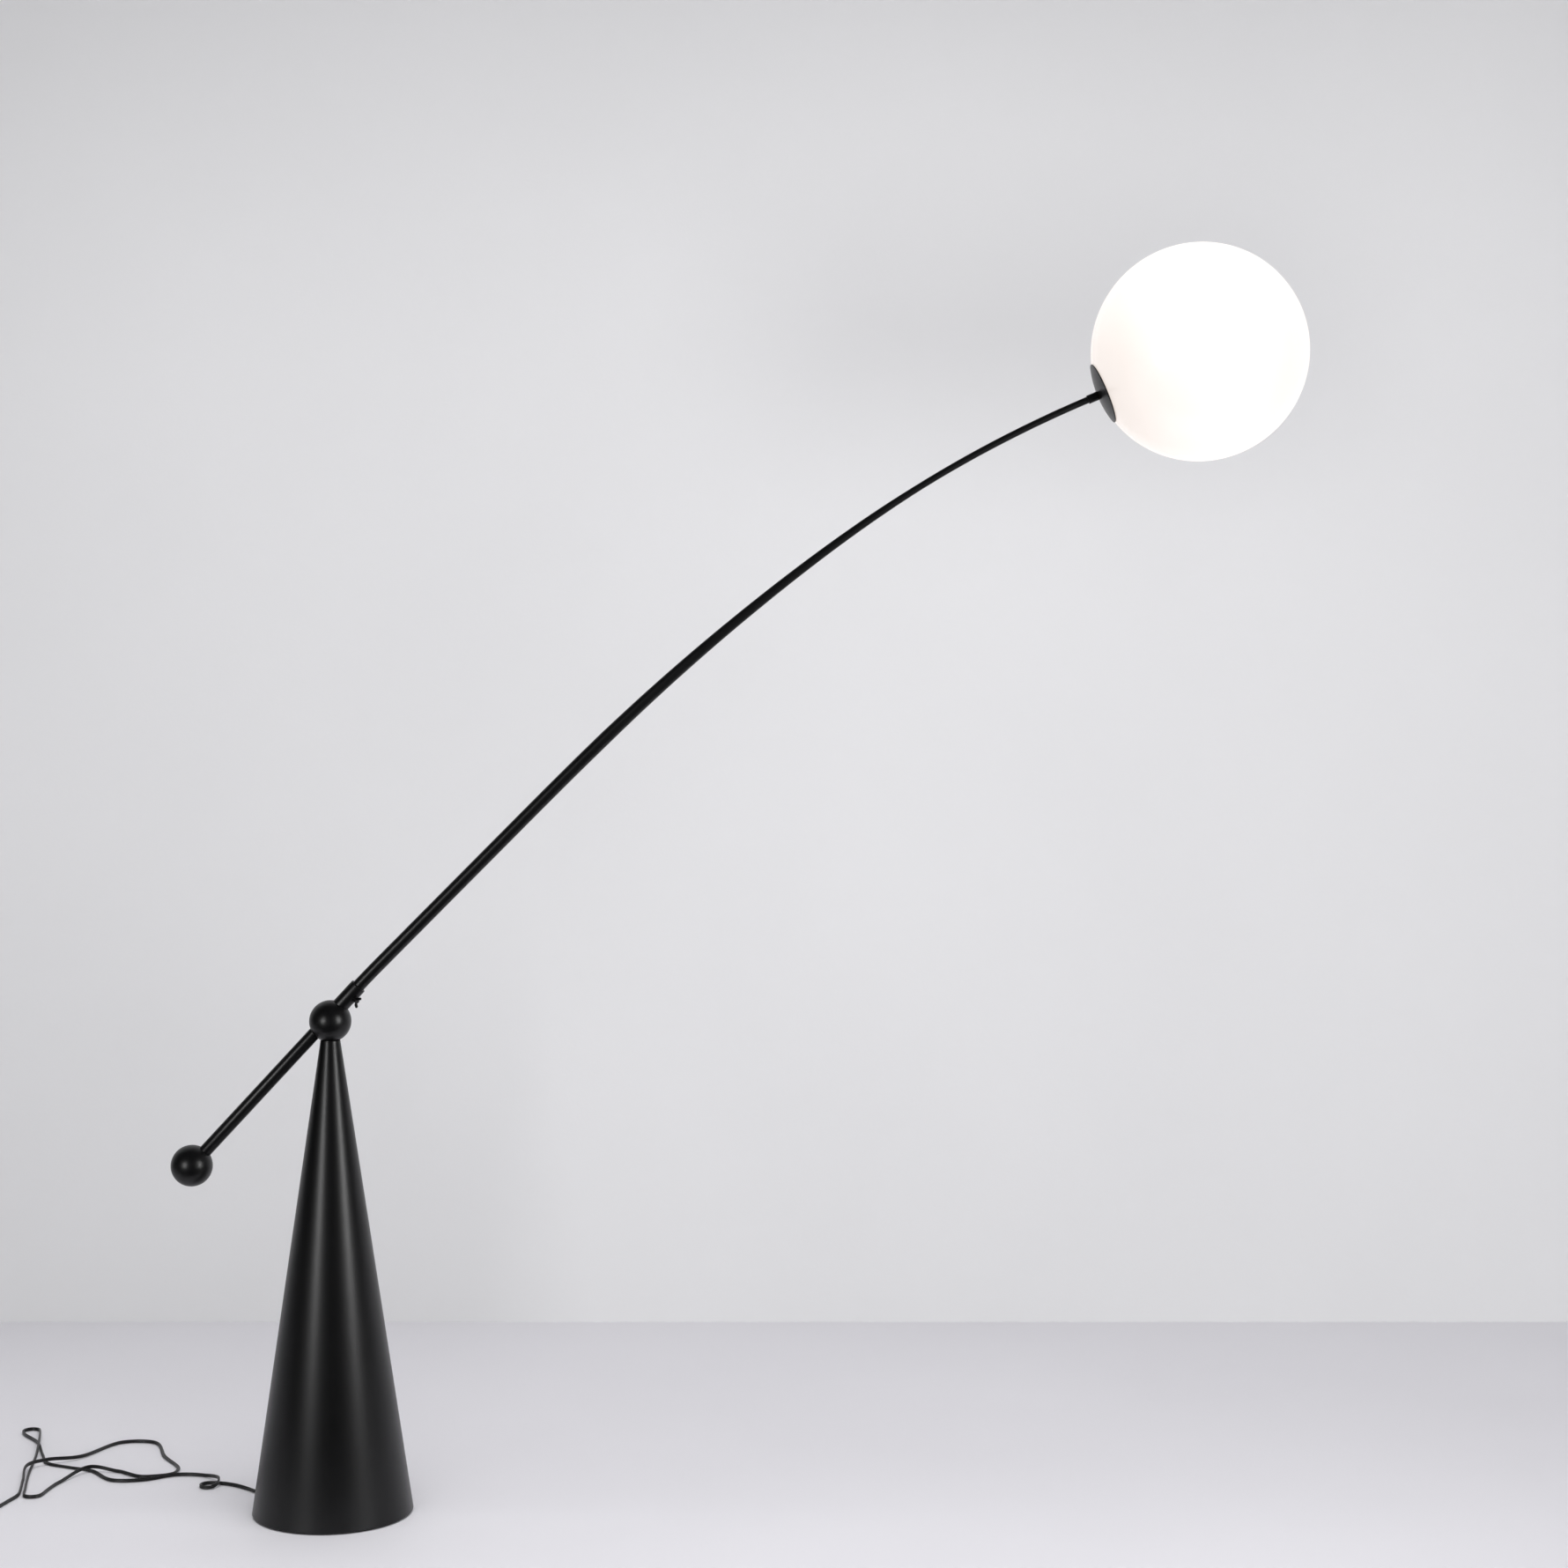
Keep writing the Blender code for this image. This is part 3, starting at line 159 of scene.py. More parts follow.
# Route of the cord's loose part: x, y, z and how far it is turned up on its edge, from 0, flat, to 1
ROUTE = (
    (-0.1420, 0.1040, LIE, 0.4), (-0.1700, 0.1225, LIE, 1), (-0.1953, 0.1294, LIE, 1),
    (-0.2046, 0.1282, LIE, 1), (-0.2104, 0.1207, LIE, 1), (-0.2092, 0.1113, LIE, 1),
    (-0.2017, 0.1056, LIE, 1), (-0.1924, 0.1068, 0.0032, 1), (-0.1866, 0.1143, 0.0056, 1),
    (-0.1868, 0.1300, OVER, 1), (-0.1960, 0.1490, 0.0064, 1), (-0.2160, 0.1675, LIE, 1),
    (-0.2580, 0.1710, LIE, 1), (-0.3000, 0.1450, LIE, 1), (-0.3450, 0.1430, LIE, 1),
    (-0.3880, 0.1930, LIE, 0.4), (-0.4250, 0.2120, LIE, 0.1), (-0.4630, 0.2330, LIE, 0.3),
    (-0.4810, 0.2750, LIE, 1), (-0.5080, 0.3450, LIE, 1), (-0.5390, 0.3890, LIE, 1),
    (-0.5463, 0.4072, LIE, 1), (-0.5435, 0.4164, LIE, 1), (-0.5350, 0.4209, LIE, 1),
    (-0.5258, 0.4178, LIE, 1), (-0.5216, 0.4091, 0.0038, 1), (-0.5060, 0.3500, OVER, 1),
    (-0.4900, 0.2700, LIE, 1), (-0.4740, 0.1700, LIE, 1), (-0.4575, 0.0900, LIE, 1),
    (-0.4540, 0.0716, LIE, 1), (-0.4498, 0.0630, LIE, 1), (-0.4409, 0.0595, LIE, 1),
    (-0.4320, 0.0631, LIE, 1), (-0.4280, 0.0718, LIE, 1), (-0.4265, 0.0880, LIE, 1),
    (-0.4180, 0.1350, LIE, 1), (-0.3890, 0.1910, OVER, 1), (-0.3500, 0.1900, LIE, 1),
    (-0.3050, 0.1610, LIE, 1), (-0.2680, 0.1760, LIE, 0.4), (-0.2620, 0.2050, LIE, 0.1),
    (-0.2960, 0.2680, LIE, 0.3), (-0.3300, 0.3450, LIE, 1), (-0.3780, 0.3450, LIE, 1),
    (-0.4220, 0.2620, 0.0040, 1), (-0.4620, 0.2290, OVER, 1), (-0.4835, 0.2020, OVER, 1),
    (-0.4752, 0.1450, LIE, 1), (-0.4642, 0.0900, LIE, 1), (-0.4615, 0.0680, LIE, 1),
    (-0.4680, 0.0350, LIE, 1), (-0.4745, 0.0050, LIE, 1),
)

# Foot switch, coil and plug, beyond the view
SWITCH_AT = Vector((-0.492, -0.090, 0.0))
SWITCH_HEADING = math.radians(-100)
SWITCH_LENGTH = 0.076
SWITCH_WIDTH = 0.032
SWITCH_SPLIT = 0.0115
SWITCH_TOP = 0.0205
BUTTON_RADIUS = 0.0115
BUTTON_TOP = 0.0245
BOOT_LENGTH = 0.022
BOOT_Z = 0.0075
COIL_AT = Vector((-0.520, 0.030, 0.0))
COIL_RADIUS = 0.030
COIL_PITCH = 0.0056
COIL_LIFT = 0.0006
STRAP = 0.0005
LEAD_IN = (
    (-0.5065, -0.1720, LIE, 1), (-0.5280, -0.1870, LIE, 1), (-0.5500, -0.1720, LIE, 1),
    (-0.5565, -0.1300, LIE, 1), (-0.5545, -0.0700, LIE, 1), (-0.5530, -0.0200, LIE, 1),
)
PLUG_AT = Vector((-0.558, 0.158, 0.0075))
PLUG_HEADING = math.radians(95)
PLUG_BACK = 0.0175
PLUG_BOOT = 0.020


# Camera and light

def add_object(name, data):
    obj = bpy.data.objects.new(name, data)
    bpy.context.scene.collection.objects.link(obj)
    return obj


def add_camera():
    data = bpy.data.cameras.new("camera")
    data.sensor_width = 36.0
    data.lens = CAMERA_LENS
    data.clip_end = 50.0
    camera = add_object("camera", data)
    camera.location = CAMERA_AT
    camera.rotation_euler = (math.pi / 2 - CAMERA_PITCH, 0.0, 0.0)
    bpy.context.scene.camera = camera


def area_light(name, at, towards, width, height, power, seen_by):
    data = bpy.data.lights.new(name, "AREA")
    data.shape = "RECTANGLE"
    data.size = width
    data.size_y = height
    data.energy = power
    light = add_object(name, data)
    light.location = at
    light.rotation_euler = (Vector(towards) - Vector(at)).to_track_quat("-Z", "Y").to_euler()
    light.visible_camera = False
    light.visible_glossy = seen_by == "gloss"
    light.visible_diffuse = seen_by == "diffuse"


# Node helpers

def new_material(name, color, roughness, metallic=0.0):
    """A Principled material: (material, node tree, shader)."""
    mat = bpy.data.materials.new(name)
    mat.use_nodes = True
    shader = mat.node_tree.nodes["Principled BSDF"]
    shader.inputs["Base Color"].default_value = (*color, 1.0)
    shader.inputs["Roughness"].default_value = roughness
    shader.inputs["Metallic"].default_value = metallic
    return mat, mat.node_tree, shader


def place_texture(tree, stretch=(1.0, 1.0, 1.0)):
    """Coordinates in metres on the piece, stretched along its axes."""
    coords = tree.nodes.new("ShaderNodeTexCoord")
    mapping = tree.nodes.new("ShaderNodeMapping")
    mapping.inputs["Scale"].default_value = stretch
    tree.links.new(coords.outputs["Object"], mapping.inputs["Vector"])
    return mapping.outputs["Vector"]


def noise(tree, coords, size, detail=2.0, rough=0.5):
    """Noise whose features are about size metres across."""
    node = tree.nodes.new("ShaderNodeTexNoise")
    node.inputs["Scale"].default_value = 1.0 / size
    node.inputs["Detail"].default_value = detail
    node.inputs["Roughness"].default_value = rough
    tree.links.new(coords, node.inputs["Vector"])
    return node.outputs["Fac"]


def spread(tree, value, low, high, from_low=0.3, from_high=0.7):
    """Maps a noise value onto a range."""
    node = tree.nodes.new("ShaderNodeMapRange")
    node.inputs["From Min"].default_value = from_low
    node.inputs["From Max"].default_value = from_high
    node.inputs["To Min"].default_value = low
    node.inputs["To Max"].default_value = high
    tree.links.new(value, node.inputs["Value"])
    return node.outputs["Result"]


def two_colors(tree, value, dark, light, low=0.3, high=0.7):
    ramp = tree.nodes.new("ShaderNodeValToRGB")
    ramp.color_ramp.elements[0].position = low
    ramp.color_ramp.elements[0].color = (*dark, 1.0)
    ramp.color_ramp.elements[1].position = high
    ramp.color_ramp.elements[1].color = (*light, 1.0)
    tree.links.new(value, ramp.inputs["Fac"])
    return ramp.outputs["Color"]


def bump(tree, shader, height, distance, strength=1.0, before=None):
    node = tree.nodes.new("ShaderNodeBump")
    node.inputs["Distance"].default_value = distance
    node.inputs["Strength"].default_value = strength
    tree.links.new(height, node.inputs["Height"])
    if before:
        tree.links.new(before, node.inputs["Normal"])
    tree.links.new(node.outputs["Normal"], shader.inputs["Normal"])
    return node.outputs["Normal"]


# Materials

def powder_black():
    """Satin powder coat: a fine grain over a faint orange peel."""
    mat, tree, shader = new_material("powder_black", (0.0019, 0.0019, 0.0021), 0.355)
    coords = place_texture(tree)
    grain = noise(tree, coords, 0.00075, 3.0, 0.6)
    peel = noise(tree, coords, 0.0035, 2.0)
    drift = noise(tree, coords, 0.05, 3.0)
    color = two_colors(tree, drift, (0.0014, 0.0014, 0.0016), (0.0024, 0.0024, 0.0027))
    tree.links.new(color, shader.inputs["Base Color"])
    tree.links.new(spread(tree, grain, 0.30, 0.41), shader.inputs["Roughness"])
    shader.inputs["Specular IOR Level"].default_value = 0.35
    first = bump(tree, shader, peel, 0.00006, 0.5)
    bump(tree, shader, grain, 0.00007, 0.6, first)
    return mat


def metal(name, dark, light, roughness, size, stretch=(1.0, 1.0, 1.0), depth=0.00001):
    """Bare or plated metal with a fine directional or even finish."""
    mat, tree, shader = new_material(name, light, roughness, 1.0)
    coords = place_texture(tree, stretch)
    fine = noise(tree, coords, size, 4.0, 0.6)
    stain = noise(tree, place_texture(tree), 0.012, 4.0)
    tree.links.new(two_colors(tree, stain, dark, light), shader.inputs["Base Color"])
    tree.links.new(spread(tree, fine, roughness - 0.08, roughness + 0.1), shader.inputs["Roughness"])
    bump(tree, shader, fine, depth, 0.6)
    return mat


def moulded(name, dark, light, roughness, grain=0.0004, depth=0.00002, specular=0.5):
    """Moulded plastic or rubber with a fine spark-eroded grain."""
    mat, tree, shader = new_material(name, light, roughness)
    coords = place_texture(tree)
    fine = noise(tree, coords, grain, 3.0, 0.6)
    drift = noise(tree, coords, 0.018, 3.0)
    tree.links.new(two_colors(tree, drift, dark, light), shader.inputs["Base Color"])
    tree.links.new(spread(tree, fine, roughness - 0.06, roughness + 0.08), shader.inputs["Roughness"])
    shader.inputs["Specular IOR Level"].default_value = specular
    bump(tree, shader, fine, depth, 0.5)
    return mat


def cast_iron():
    mat, tree, shader = new_material("cast_iron", (0.055, 0.055, 0.058), 0.7, 0.3)
    coords = place_texture(tree)
    sand = noise(tree, coords, 0.0016, 6.0, 0.65)
    color = two_colors(tree, sand, (0.035, 0.033, 0.032), (0.085, 0.083, 0.082))
    tree.links.new(color, shader.inputs["Base Color"])
    tree.links.new(spread(tree, sand, 0.6, 0.85), shader.inputs["Roughness"])
    bump(tree, shader, sand, 0.0003, 0.7)
    return mat


def opal_glass(name, glow, head_at, head_axis):
    """Lit opal glass: satin white that glows, with painted shade that makes it a little dimmer and warmer round
    its neck, by the dish.
    """
    mat, tree, shader = new_material(name, (0.28, 0.275, 0.27), 0.22)
    shader.inputs["Coat Weight"].default_value = 0.35
    shader.inputs["Coat Roughness"].default_value = 0.12
    shader.inputs["Emission Strength"].default_value = glow
    geometry = tree.nodes.new("ShaderNodeTexCoord")
    along = tree.nodes.new("ShaderNodeVectorMath")
    along.operation = "DOT_PRODUCT"
    along.inputs[1].default_value = head_axis
    tree.links.new(geometry.outputs["Object"], along.inputs[0])
    middle = head_at.dot(head_axis)
    share = spread(tree, along.outputs["Value"], 0.0, 1.0, middle - GLOBE_RADIUS, middle + GLOBE_RADIUS)
    cloud = noise(tree, place_texture(tree), 0.06, 3.0)
    # Painted shade: the glow's colour runs dimmer and warmer towards the neck, where the dish shades the globe.
    ramp = tree.nodes.new("ShaderNodeValToRGB")
    ramp.color_ramp.elements[0].position = 0.0
    ramp.color_ramp.elements[0].color = (0.68, 0.61, 0.56, 1.0)
    ramp.color_ramp.elements[1].position = 0.35
    ramp.color_ramp.elements[1].color = (0.86, 0.78, 0.73, 1.0)
    tree.links.new(share, ramp.inputs["Fac"])
    mix = tree.nodes.new("ShaderNodeMix")
    mix.data_type = "RGBA"
    mix.blend_type = "MULTIPLY"
    mix.inputs["Factor"].default_value = 1.0
    tree.links.new(ramp.outputs["Color"], mix.inputs["A"])
    tree.links.new(two_colors(tree, cloud, (0.985, 0.98, 0.975), (1.0, 1.0, 1.0)), mix.inputs["B"])
    tree.links.new(mix.outputs["Result"], shader.inputs["Emission Color"])
    return mat


def make_materials():
    head = joints["globe_unscrew"]
    at, axis = Vector(head["pos_m"]), Vector(head["axis"]).normalized()
    return {
        "powder_black": powder_black(),
        "zinc_steel": metal("zinc_steel", (0.52, 0.53, 0.55), (0.68, 0.69, 0.71), 0.30, 0.0009),
        "black_steel": metal("black_steel", (0.018, 0.018, 0.019), (0.035, 0.035, 0.037), 0.42, 0.0006),
        "cast_iron": cast_iron(),
        "brass": metal("brass", (0.62, 0.46, 0.20), (0.78, 0.62, 0.32), 0.26, 0.0007),
        "black_pvc": moulded("black_pvc", (0.0035, 0.0035, 0.0037), (0.007, 0.007, 0.0075), 0.40, 0.0007,
                             0.000015),
        "black_plastic": moulded("black_plastic", (0.012, 0.012, 0.0125), (0.019, 0.019, 0.020), 0.42),
        "black_rubber": moulded("black_rubber", (0.014, 0.014, 0.014), (0.024, 0.024, 0.024), 0.78, 0.0006,
                                0.00003, 0.3),
        "nylon": moulded("nylon", (0.66, 0.64, 0.58), (0.78, 0.77, 0.72), 0.45),
        "white_plastic": moulded("white_plastic", (0.80, 0.80, 0.78), (0.88, 0.88, 0.87), 0.38),
        "opal_glass": opal_glass("opal_glass", 1.0, at, axis),
    }


MATERIALS = make_materials()


# Frames

def joint_at(name):
    return Vector(joints[name]["pos_m"])


def joint_axis(name):
    return Vector(joints[name]["axis"]).normalized()


def axes_frame(origin, x, y):
    """A frame at origin whose local X and Y are the given directions."""
    return Matrix.Translation(origin) @ Matrix((x, y, x.cross(y))).transposed().to_4x4()


def shift(x=0.0, y=0.0, z=0.0):
    return Matrix.Translation((x, y, z))


def turn(angle, axis):
    return Matrix.Rotation(angle, 4, axis)


Y_AXIS = Vector((0.0, 1.0, 0.0))
ALONG_X = turn(math.pi / 2, "Y")
ALONG_Y = turn(-math.pi / 2, "X")
TILT = axes_frame(joint_at("arm_tilt"), joint_axis("arm_turn"), Y_AXIS)
ARM = axes_frame(joint_at("arm_turn"), joint_axis("arm_turn"), Y_AXIS)
HEAD = axes_frame(joint_at("globe_unscrew"), joint_axis("globe_unscrew"), Y_AXIS)
WING = axes_frame(joint_at("wing_screw_turn"), joint_axis("arm_turn"),
                  joint_axis("wing_screw_turn").cross(joint_axis("arm_turn")))
SWITCH = Matrix.Translation(SWITCH_AT) @ turn(SWITCH_HEADING, "Z")
PLUG = Matrix.Translation(PLUG_AT) @ turn(PLUG_HEADING, "Z")
OUTLET = turn(OUTLET_ANGLE, "Z")


# Mesh helpers

def smooth(mesh, sharp=SHARP):
    mesh.shade_smooth()
    mesh.set_sharp_from_angle(angle=sharp)


def finish_mesh(name, bm, matrix, sharp=SHARP):
    bmesh.ops.recalc_face_normals(bm, faces=bm.faces)
    mesh = bpy.data.meshes.new(name)
    bm.to_mesh(mesh)
    bm.free()
    mesh.transform(matrix)
    smooth(mesh, sharp)
    return add_object(name, mesh)


def rounded(profile, radius, steps=3, closed=True):
    """The same outline with its corners rounded. A point may carry its own radius as a third value."""
    points = []
    count = len(profile)
    for k, corner in enumerate(profile):
        own = corner[2] if len(corner) > 2 else radius
        here = Vector(corner[:2])
        before = Vector(profile[(k - 1) % count][:2])
        after = Vector(profile[(k + 1) % count][:2])
        edge = not closed and k in (0, count - 1)
        if edge or own <= 0 or (before - here).length < 1e-9 or (after - here).length < 1e-9:
            points.append(tuple(here))
            continue
        back = (before - here).normalized()
        ahead = (after - here).normalized()
        half = back.angle(ahead) / 2
        if half > math.radians(88):
            points.append(tuple(here))
            continue
        reach = min(own / math.tan(half), 0.49 * (before - here).length, 0.49 * (after - here).length)
        first, last = here + back * reach, here + ahead * reach
        for step in range(steps + 1):
            t = step / steps
            points.append(tuple(first * (1 - t) ** 2 + here * 2 * t * (1 - t) + last * t ** 2))
    return points


def lathe(name, profile, matrix=Matrix(), segments=96):
    """A turned piece about local Z from (radius, height) points."""
    bm = bmesh.new()
    rings = []
    for radius, height in profile:
        if radius < 1e-7:
            rings.append([bm.verts.new((0.0, 0.0, height))])
            continue
        ring = []
        for step in range(segments):
            angle = 2 * math.pi * step / segments
            ring.append(bm.verts.new((radius * math.cos(angle), radius * math.sin(angle), height)))
        rings.append(ring)
    for low, high in zip(rings, rings[1:] + rings[:1]):
        if len(low) == 1 and len(high) == 1:
            continue
        for step in range(segments):
            after = (step + 1) % segments
            corners = [low[step % len(low)], low[after % len(low)]]
            corners += [high[after % len(high)], high[step % len(high)]]
            bm.faces.new(list(dict.fromkeys(corners)))
    return finish_mesh(name, bm, matrix)


def ball_profile(radius, steps, start=0.0, end=math.pi):
    points = []
    for step in range(steps + 1):
        angle = start + (end - start) * step / steps
        points.append((max(0.0, radius * math.sin(angle)), radius * math.cos(angle)))
    return points


def rod_profile(radius, low, high):
    return [(0, low), (radius, low), (radius, high), (0, high)]


def tube_profile(outer, inner, low, high):
    return [(inner, low), (outer, low), (outer, high), (inner, high)]


def prism(name, outline, low, high, matrix, bevel=0.0, bevel_steps=3):
    """An outline in local XY raised from low to high, with its rims rounded."""
    bm = bmesh.new()
    face = bm.faces.new([bm.verts.new((x, y, low)) for x, y in outline])
    moved = bmesh.ops.extrude_face_region(bm, geom=[face])["geom"]
    for vert in (item for item in moved if isinstance(item, bmesh.types.BMVert)):
        vert.co.z = high
    if bevel:
        rims = [edge for edge in bm.edges if abs(edge.verts[0].co.z - edge.verts[1].co.z) < 1e-7]
        bmesh.ops.bevel(bm, geom=rims, offset=bevel, segments=bevel_steps, affect="EDGES", profile=0.5,
                        clamp_overlap=True)
    return finish_mesh(name, bm, matrix)


def circle(radius, steps):
    angles = [2 * math.pi * k / steps for k in range(steps)]
    return [(radius * math.cos(angle), radius * math.sin(angle)) for angle in angles]


def rounded_rectangle(length, width, radius, steps=10):
    points = []
    for corner, (sx, sy) in enumerate(((1, 1), (-1, 1), (-1, -1), (1, -1))):
        centre_x = sx * (length / 2 - radius)
        centre_y = sy * (width / 2 - radius)
        for step in range(steps + 1):
            angle = math.pi / 2 * (corner + step / steps)
            points.append((centre_x + radius * math.cos(angle), centre_y + radius * math.sin(angle)))
    return points


def apply_boolean(target, cutter, operation="DIFFERENCE"):
    """Cuts or joins, keeps the result as the target's own mesh and removes the cutter."""
    modifier = target.modifiers.new(cutter.name, "BOOLEAN")
    modifier.operation = operation
    modifier.object = cutter
    modifier.solver = "EXACT"
    bpy.context.view_layer.update()
    graph = bpy.context.evaluated_depsgraph_get()
    mesh = bpy.data.meshes.new_from_object(target.evaluated_get(graph))
    target.modifiers.clear()
    target.data = mesh
    bpy.data.objects.remove(cutter, do_unlink=True)
    smooth(mesh)


def cut_all(target, *cutters):
    for cutter in cutters:
        apply_boolean(target, cutter)


def skin_rings(name, rings, matrix=Matrix(), caps=True, sharp=SHARP):
    """A surface through rings of points, its ends closed by a middle point, or joined if caps is off."""
    bm = bmesh.new()
    made = [[bm.verts.new(point) for point in ring] for ring in rings]
    for low, high in zip(made, made[1:] if caps else made[1:] + made[:1]):
        for k in range(len(low)):
            after = (k + 1) % len(low)
            bm.faces.new((low[k], low[after], high[after], high[k]))
    if caps:
        for ring in (made[0], made[-1]):
            middle = bm.verts.new(sum((vert.co for vert in ring), Vector()) / len(ring))
            for k in range(len(ring)):
                bm.faces.new((ring[k], ring[(k + 1) % len(ring)], middle))
    return finish_mesh(name, bm, matrix, sharp)


def side_frames(points):
    """A frame that doesn't twist at each point of a path: (point, side, up)."""
    tangents = [(points[min(len(points) - 1, i + 1)] - points[max(0, i - 1)]).normalized()
                for i in range(len(points))]
    side = tangents[0].cross(Vector((0.0, 0.0, 1.0)))
    if side.length < 1e-3:
        side = tangents[0].cross(Vector((0.0, 1.0, 0.0)))
    side.normalize()
    frames = []
    for point, tangent in zip(points, tangents):
        side = (side - tangent * side.dot(tangent)).normalized()
        frames.append((point, side, tangent.cross(side)))
    return frames


def sweep(name, points, radii, matrix, sides, inner=None):
    """A round bar along a path, or a tube where inner radii are given."""
    frames = side_frames(points)
    stations = list(zip(frames, radii))
    if inner:
        stations += list(zip(frames, inner))[::-1]
    rings = [[point + (side * x + up * y) * radius for x, y in circle(1.0, sides)]
             for (point, side, up), radius in stations]
    return skin_rings(name, rings, matrix, not inner)


# Cord

def line_length(line):
    return sum((b - a).length for a, b in zip(line, line[1:]))


def smooth_route(route, spacing):
    """Even points on a centripetal Catmull-Rom curve. A route's fourth value is carried along."""
    ends = [2 * route[0] - route[1], *route, 2 * route[-1] - route[-2]]
    dense = [route[0].copy()]
    for p0, p1, p2, p3 in zip(ends, ends[1:], ends[2:], ends[3:]):
        t1 = (p1 - p0).length ** 0.5
        t2 = t1 + (p2 - p1).length ** 0.5
        t3 = t2 + (p3 - p2).length ** 0.5
        steps = max(4, round((p2 - p1).length / 0.0015))
        for k in range(1, steps + 1):
            t = t1 + (t2 - t1) * k / steps
            a1 = p0 * ((t1 - t) / t1) + p1 * (t / t1)
            a2 = p1 * ((t2 - t) / (t2 - t1)) + p2 * ((t - t1) / (t2 - t1))
            a3 = p2 * ((t3 - t) / (t3 - t2)) + p3 * ((t - t2) / (t3 - t2))
            b1 = a1 * ((t2 - t) / t2) + a2 * (t / t2)
            b2 = a2 * ((t3 - t) / (t3 - t1)) + a3 * ((t - t1) / (t3 - t1))
            dense.append(b1 * ((t2 - t) / (t2 - t1)) + b2 * ((t - t1) / (t2 - t1)))
    length = line_length(dense)
    wanted = length / max(1, round(length / spacing))
    even = [dense[0]]
    gone = 0.0
    for a, b in zip(dense, dense[1:]):
        step = (b - a).length
        while gone + step >= wanted and step > 0:
            share = (wanted - gone) / step
            a = a.lerp(b, share)
            even.append(a)
            step = (b - a).length
            gone = 0.0
        gone += step
    if (even[-1] - dense[-1]).length > wanted / 2:
        even.append(dense[-1])
    return even


def carried(point, lean=None):
    """A route's point with its lean scaled so that it doesn't count in distances."""
    values = tuple(point)
    if lean is not None:
        values += (lean,)
    return Vector((*values[:3], values[3] * LEAN_SCALE))


def twin_section(steps=9):
    """Outline of the flat twin: two round cores with a shallow groove between them."""
    dip = 0.00125
    waist = math.acos(CORE_APART / CORE_RADIUS) * 0.92
    points = []
    for k in range(2 * steps + 1):
        angle = -math.pi + waist + (2 * math.pi - 2 * waist) * k / (2 * steps)
        points.append((CORE_APART + CORE_RADIUS * math.cos(angle), CORE_RADIUS * math.sin(angle)))
    points.append((0.0, dip))
    points += [(-x, -y) for x, y in points[:-1]]
    points.append((0.0, -dip))
    return points


def flat_cord(name, route):
    """The flat twin along a route, on its edge where the route says so: (piece, its centreline)."""
    even = smooth_route(route, CORD_STEP)
    section = twin_section()
    line = []
    leans = []
    for point in even:
        lean = min(1.0, max(0.0, point[3] / LEAN_SCALE)) * math.pi / 2
        half_height = CORE_APART * math.sin(lean) + CORE_RADIUS
        leans.append(lean)
        line.append(Vector((point[0], point[1], max(point[2], LIE) - HALF_WIDTH + half_height)))
    rings = []
    for i, (point, lean) in enumerate(zip(line, leans)):
        tangent = (line[min(len(line) - 1, i + 1)] - line[max(0, i - 1)]).normalized()
        across = tangent.cross(Vector((0.0, 0.0, 1.0))).normalized()
        up = across.cross(tangent)
        wide = across * math.cos(lean) + up * math.sin(lean)
        thin = up * math.cos(lean) - across * math.sin(lean)
        rings.append([point + wide * x + thin * y for x, y in section])
    return skin_rings(name, rings, sharp=math.radians(60)), line


def outlet_point(distance):
    """The lead's middle at a distance outside the cone's wall: level at first, then down to the floor."""
    fall = min(1.0, max(0.0, distance - GRIP) / (RELIEF_LENGTH - GRIP))
    drop = (OUTLET_Z - TAIL_Z) * (3 * fall ** 2 - 2 * fall ** 3)
    return Vector((cone_radius(OUTLET_Z) + distance, 0.0, OUTLET_Z - drop))


def cone_radius(z):
    return CONE_SLOPE * (CONE_APEX_Z - z)


def heading(angle):
    return Vector((math.cos(angle), math.sin(angle), 0.0))


def coil_route():
    """Four turns, clockwise from above: outer and inner below, then inner and outer on top."""
    outer = COIL_RADIUS + COIL_PITCH / 2
    inner = COIL_RADIUS - COIL_PITCH / 2
    low = LIE + COIL_LIFT
    high = low + COIL_PITCH
    stops = ((0.0, outer, low), (0.80, outer, low), (1.05, inner, low), (1.80, inner, low),
             (2.05, inner, high), (2.80, inner, high), (3.05, outer, high), (4.0, outer, high))
    steps = 20
    points = []
    for k in range(4 * steps + 1):
        turns = k / steps
        for (t0, r0, z0), (t1, r1, z1) in zip(stops, stops[1:]):
            if turns <= t1:
                share = (turns - t0) / (t1 - t0)
                ease = share * share * (3 - 2 * share)
                radius, z = r0 + (r1 - r0) * ease, z0 + (z1 - z0) * ease
                break
        point = COIL_AT + heading(math.pi - 2 * math.pi * turns) * radius
        points.append(carried((point.x, point.y, z), 1))
    return points


